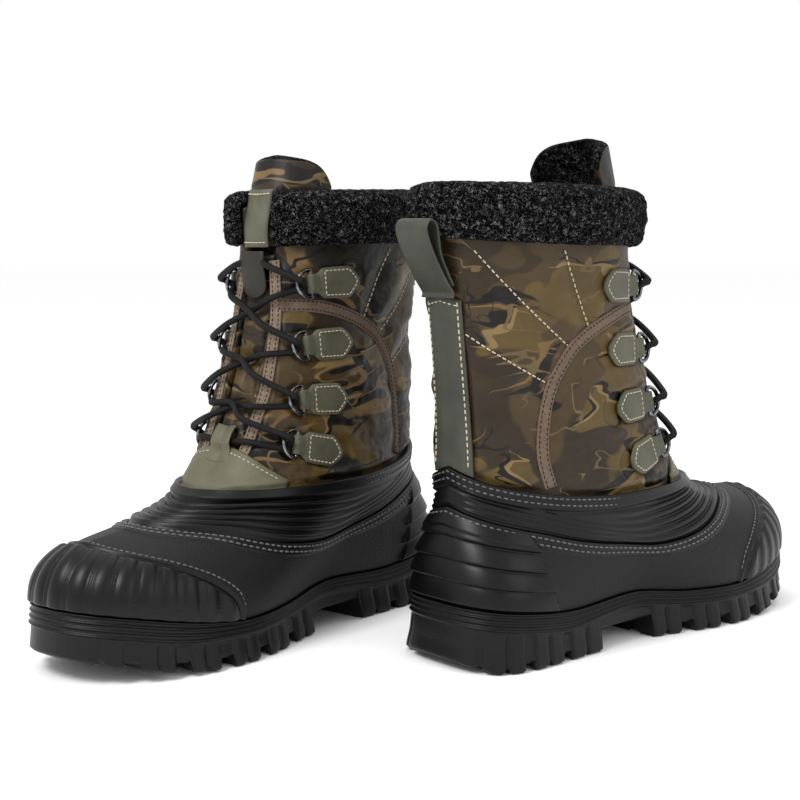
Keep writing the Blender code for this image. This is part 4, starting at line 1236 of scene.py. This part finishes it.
def ring_frame(number, side):
    """Bar centre of a D-ring, with its forward, upward and outward directions."""
    u, v = RING_BARS[number]
    tip_u, tip_v = TAB_TIPS[number]
    if side < 0:
        u, tip_u = 1 - u, 1 - tip_u
    base = shaft_point(u, v)
    outward = outward_at(shaft_point, u, v)
    forward = base - shaft_point(tip_u, tip_v)
    forward = unit(forward - outward * forward.dot(outward))
    return base + outward * BAR_HEIGHT, forward, np.cross(forward, outward) * side, outward


def add_ring(boot, number, side, label):
    """D-ring: a round bow closed by a straight bar, with small bent corners."""
    centre, forward, upward, outward = ring_frame(number, side)
    bow = forward * math.cos(RING_TILT) + outward * math.sin(RING_TILT)
    half = RING_HALF_HEIGHT
    outline = [(0.0, y) for y in np.linspace(-half + 2.0, half - 2.0, 9)]
    outline += [(0.3, half - 0.9), (1.4, half - 0.15)]
    outline += [(1.4 + (RING_DEPTH - 1.4) * math.cos(a), half * math.sin(a) * 0.985)
                for a in np.linspace(math.pi / 2 - 0.2, -math.pi / 2 + 0.2, 19)]
    outline += [(1.4, -half + 0.15), (0.3, -half + 0.9)]
    flat = through([*outline, outline[0]], 3)[:-1]
    points = centre + flat[:, :1] * bow + flat[:, 1:] * upward
    rings = tube(points, RING_WIRE, 10, closed=True)
    add_wall(boot, f"d_{label}", rings, True, "gunmetal", body=f"{boot.name}_ring_{label}_body",
             node=f"ring_{label}")


def add_tab(boot, number, side, label):
    """Leather tab: a pointed plate sewn to the shaft, folded round the ring's bar."""
    centre, forward, upward, outward = ring_frame(number, side)
    u, v = RING_BARS[number]
    tip_u, tip_v = TAB_TIPS[number]
    whole = np.linalg.norm(shaft_point(tip_u, tip_v) - shaft_point(u, v))

    def on_shaft(distance):
        f = distance / whole
        place_u = u + (tip_u - u) * f
        return (place_u if side > 0 else 1 - place_u), v + (tip_v - v) * f

    outline = ((36.4, 1.2), (36.0, 2.9), (34.4, 5.2), (31.8, 8.1), (29.4, 10.0), (27.8, 10.5), (24.0, 10.5),
               (18.0, 10.4), (12.5, 10.2), (9.2, 9.9), (7.4, 8.6), (6.0, 7.1))
    plate = []
    for distance, half in outline:
        edge_points = []
        for share in np.linspace(-1, 1, 9):
            at = moved(shaft_point, *on_shaft(distance), upward, half * share)
            crown = 0.55 * (1 - abs(share) ** 3)
            edge = 0.35 if abs(share) == 1 or distance > 36.2 else 1.0
            edge_points.append((at, crown, edge))
        lower = [raised(shaft_point, *at, 2.0 - 1.2 * edge) for at, _, edge in edge_points]
        upper = [raised(shaft_point, *at, 2.0 + (1.2 + crown * 0.5) * edge)
                 for at, crown, edge in edge_points]
        plate.append([*upper, *reversed(lower)])
    fold = []
    for angle in np.linspace(150, -120, 16):
        a = math.radians(angle)
        spoke = forward * math.cos(a) + outward * math.sin(a)
        rows = []
        for radius, order in ((3.1, 1), (1.75, -1)):
            for share in np.linspace(-1, 1, 9)[::order]:
                inset = 0.25 if abs(share) == 1 else 0.0
                reach = radius - inset if radius > 2 else radius + inset
                rows.append(centre + spoke * reach + upward * 6.3 * share)
        fold.append(rows)
    rings = np.array([*plate, *fold])
    add_wall(boot, f"leather_tab_{label}", rings, False, "olive", node=f"tab_{label}")
    sewn = ((10.6, -7.9), (28.2, -8.3), (33.9, -1.6), (33.9, 1.6), (28.2, 8.3), (10.6, 7.9), (10.6, -7.9))
    for start, end in zip(sewn, sewn[1:]):
        gap = math.dist(start, end)
        count = max(int(round(gap / 3.0)), 1)
        first, last = np.array(start), np.array(end)
        spots = [first + (last - first) * (k + 0.5) / count for k in range(count)]
        at = [moved(shaft_point, *on_shaft(d), upward, h) for d, h in spots]
        points = np.array([raised(shaft_point, *p, 3.42) for p in at])
        ends = [raised(shaft_point, *moved(shaft_point, *on_shaft(d), upward, h), 3.4)
                for d, h in (start, end)]
        run = np.repeat((ends[1] - ends[0])[None], count, 0)
        lift = np.array([outward_at(shaft_point, *p) for p in at])
        boot.stitch(points, run, lift, "cream", length=2.15, radius=0.45)


def ring_pass(number, side):
    """The lace's way through a ring: in under the bow, up through the ring and back over the bow."""
    centre, forward, upward, outward = ring_frame(number, side)
    tip = centre + (forward * math.cos(RING_TILT) + outward * math.sin(RING_TILT)) * RING_DEPTH
    turn = ((0.5, -3.4, -4.4), (-3.6, -1.4, -2.9), (-4.4, 0.0, 0.0), (-3.6, 1.4, 2.9), (0.5, 3.4, 4.4))
    return [tip + forward * f + upward * b + outward * n for f, b, n in turn]


def lace_route():
    """One lace from end to end: criss-cross up the throat, with a straight run at the bottom."""
    def over(u, v, height):
        return raised(shaft_point, u, v, height)

    strands = []
    for start in (1, -1):
        side, strand = start, []
        for row in range(4):
            strand += ring_pass(row, side)
            if row == 3:
                break
            near, middle, far = LACE_CROSSINGS[row]
            on_top = (row % 2 == 0) == (start > 0)
            strand += [over(0.5 - side * 0.05, near, 9.4 if on_top else 8.0),
                       over(0.5, middle, 9.2 if on_top else 4.2),
                       over(0.5 + side * 0.055, far, 6.6)]
            side = -side
        strand += [over(0.5 - side * 0.046, 0.748, 8.0), over(0.5 - side * 0.018, 0.774, 4.4),
                   over(0.5 - side * 0.0105, 0.792, 4.0)]
        strands.append(strand)
    bottom = [over(u, v, height) for u, v, height in (
        (0.424, 0.213, 4.1), (0.454, 0.225, 3.7), (0.5, 0.233, 3.2), (0.546, 0.225, 3.7),
        (0.576, 0.213, 4.1))]
    return np.array([*reversed(strands[0]), *bottom, *strands[1]])


def add_lace(boot):
    line = through(lace_route(), 8)
    points = spaced(line, line, 0.75)
    rings = tube(points, LACE_RADIUS, 12, braid=0.10)
    add_wall(boot, "braided_lace", rings, False, "lace", node="lace")


# ---------------------------------------------------------------- stitches

def stitch_template():
    """Rings of one thread stitch: a short round-ended capsule, as (along, radius) rows."""
    angle = (np.arange(6) + 0.5) * np.pi / 3
    rows = ((-0.5, 0.35), (-0.36, 0.9), (0.0, 1.0), (0.36, 0.9), (0.5, 0.35))
    return [(along, size * np.cos(angle), size * np.sin(angle)) for along, size in rows]


def add_stitches(boot):
    rows = stitch_template()
    base = ring_faces(len(rows), 6, False)
    for (colour, body), groups in boot.stitches.items():
        blocks = []
        for middles, along, outward, length, radius in groups:
            across = unit(np.cross(outward, along))
            lift = np.cross(along, across)
            stack = [middles[:, None] + along[:, None] * (a * length)
                     + across[:, None] * (x * radius)[None, :, None]
                     + lift[:, None] * (z * radius)[None, :, None] for a, x, z in rows]
            blocks.append(np.stack(stack, 1).reshape(len(middles), -1, 3))
        points = np.concatenate(blocks)
        per = points.shape[1]
        faces = (base[None] + (np.arange(len(points)) * per)[:, None, None]).reshape(-1, 4)
        where = body.replace(f"{boot.name}_", "").replace("_body", "")
        boot.piece(f"stitches_{colour}_{where}", points, faces, colour, body=body)


# ---------------------------------------------------------------- whole boots, room and camera

def add_boot(name):
    """All the shown pieces of one boot, with bare steel on its hidden shank."""
    boot = Boot(name)
    padding = Padding(boot)
    add_outsole(boot)
    add_rubber_foot(boot)
    add_bellows_cuff(boot)
    add_shaft(boot, padding)
    add_shaft_trim(boot, padding)
    add_back_stay(boot)
    add_heel_loop(boot)
    add_vamp_patch(boot)
    add_tongue(boot)
    add_tongue_flap(boot)
    add_strip(boot)
    add_collar(boot)
    add_lining(boot)
    add_footbed(boot)
    add_lace(boot)
    for side, word in ((1, "lateral"), (-1, "medial")):
        for number in range(4):
            add_tab(boot, number, side, f"{word}_{number + 1}")
            add_ring(boot, number, side, f"{word}_{number + 1}")
    add_stitches(boot)
    shank = frame["nodes"][f"{name}_shank"].data.materials
    shank.clear()
    shank.append(M["steel"])


def add_floor():
    bpy.ops.mesh.primitive_plane_add(size=14.0, location=(0, 2.0, -0.0004))
    floor = bpy.context.object
    floor.name = "floor"
    material = bpy.data.materials.new("pale_floor")
    material.use_nodes = True
    shader = material.node_tree.nodes["Principled BSDF"]
    shader.inputs["Base Color"].default_value = (0.985, 0.985, 0.985, 1.0)
    shader.inputs["Roughness"].default_value = 0.9
    shader.inputs["Specular IOR Level"].default_value = 0.1
    floor.data.materials.append(material)


def add_light(name, energy, size, location, target):
    """A square or oblong soft light turned to a target."""
    light = bpy.data.lights.new(name, "AREA")
    light.energy = energy
    light.shape = "RECTANGLE"
    light.size, light.size_y = size
    item = bpy.data.objects.new(name, light)
    item.location = location
    item.rotation_euler = (Vector(target) - Vector(location)).to_track_quat("-Z", "Y").to_euler()
    bpy.context.scene.collection.objects.link(item)


def add_studio():
    world = bpy.data.worlds.new("studio")
    world.use_nodes = True
    world.node_tree.nodes["Background"].inputs["Color"].default_value = (1.0, 1.0, 1.0, 1.0)
    world.node_tree.nodes["Background"].inputs["Strength"].default_value = 1.0
    bpy.context.scene.world = world
    bpy.context.scene.view_settings.view_transform = "Standard"
    middle = (0.0, 0.0, 0.12)
    add_light("key", 16.0, (0.5, 0.5), (-0.75, -0.9, 1.25), middle)
    add_light("fill", 4.0, (0.8, 0.9), (1.3, -0.9, 0.9), middle)
    add_light("top", 7.0, (1.2, 0.7), (0.1, 0.3, 1.6), middle)


def add_camera():
    camera = bpy.data.cameras.new("camera")
    camera.lens = 66.8
    camera.sensor_width = 36.0
    item = bpy.data.objects.new("camera", camera)
    item.location = (-0.0162, -0.974, 0.2628)
    target = Vector((-0.02515, -0.01524, 0.15246))
    item.rotation_euler = (target - item.location).to_track_quat("-Z", "Y").to_euler()
    bpy.context.scene.collection.objects.link(item)
    bpy.context.scene.camera = item


add_camera()
add_studio()
add_floor()
add_boot("left")
add_boot("right")
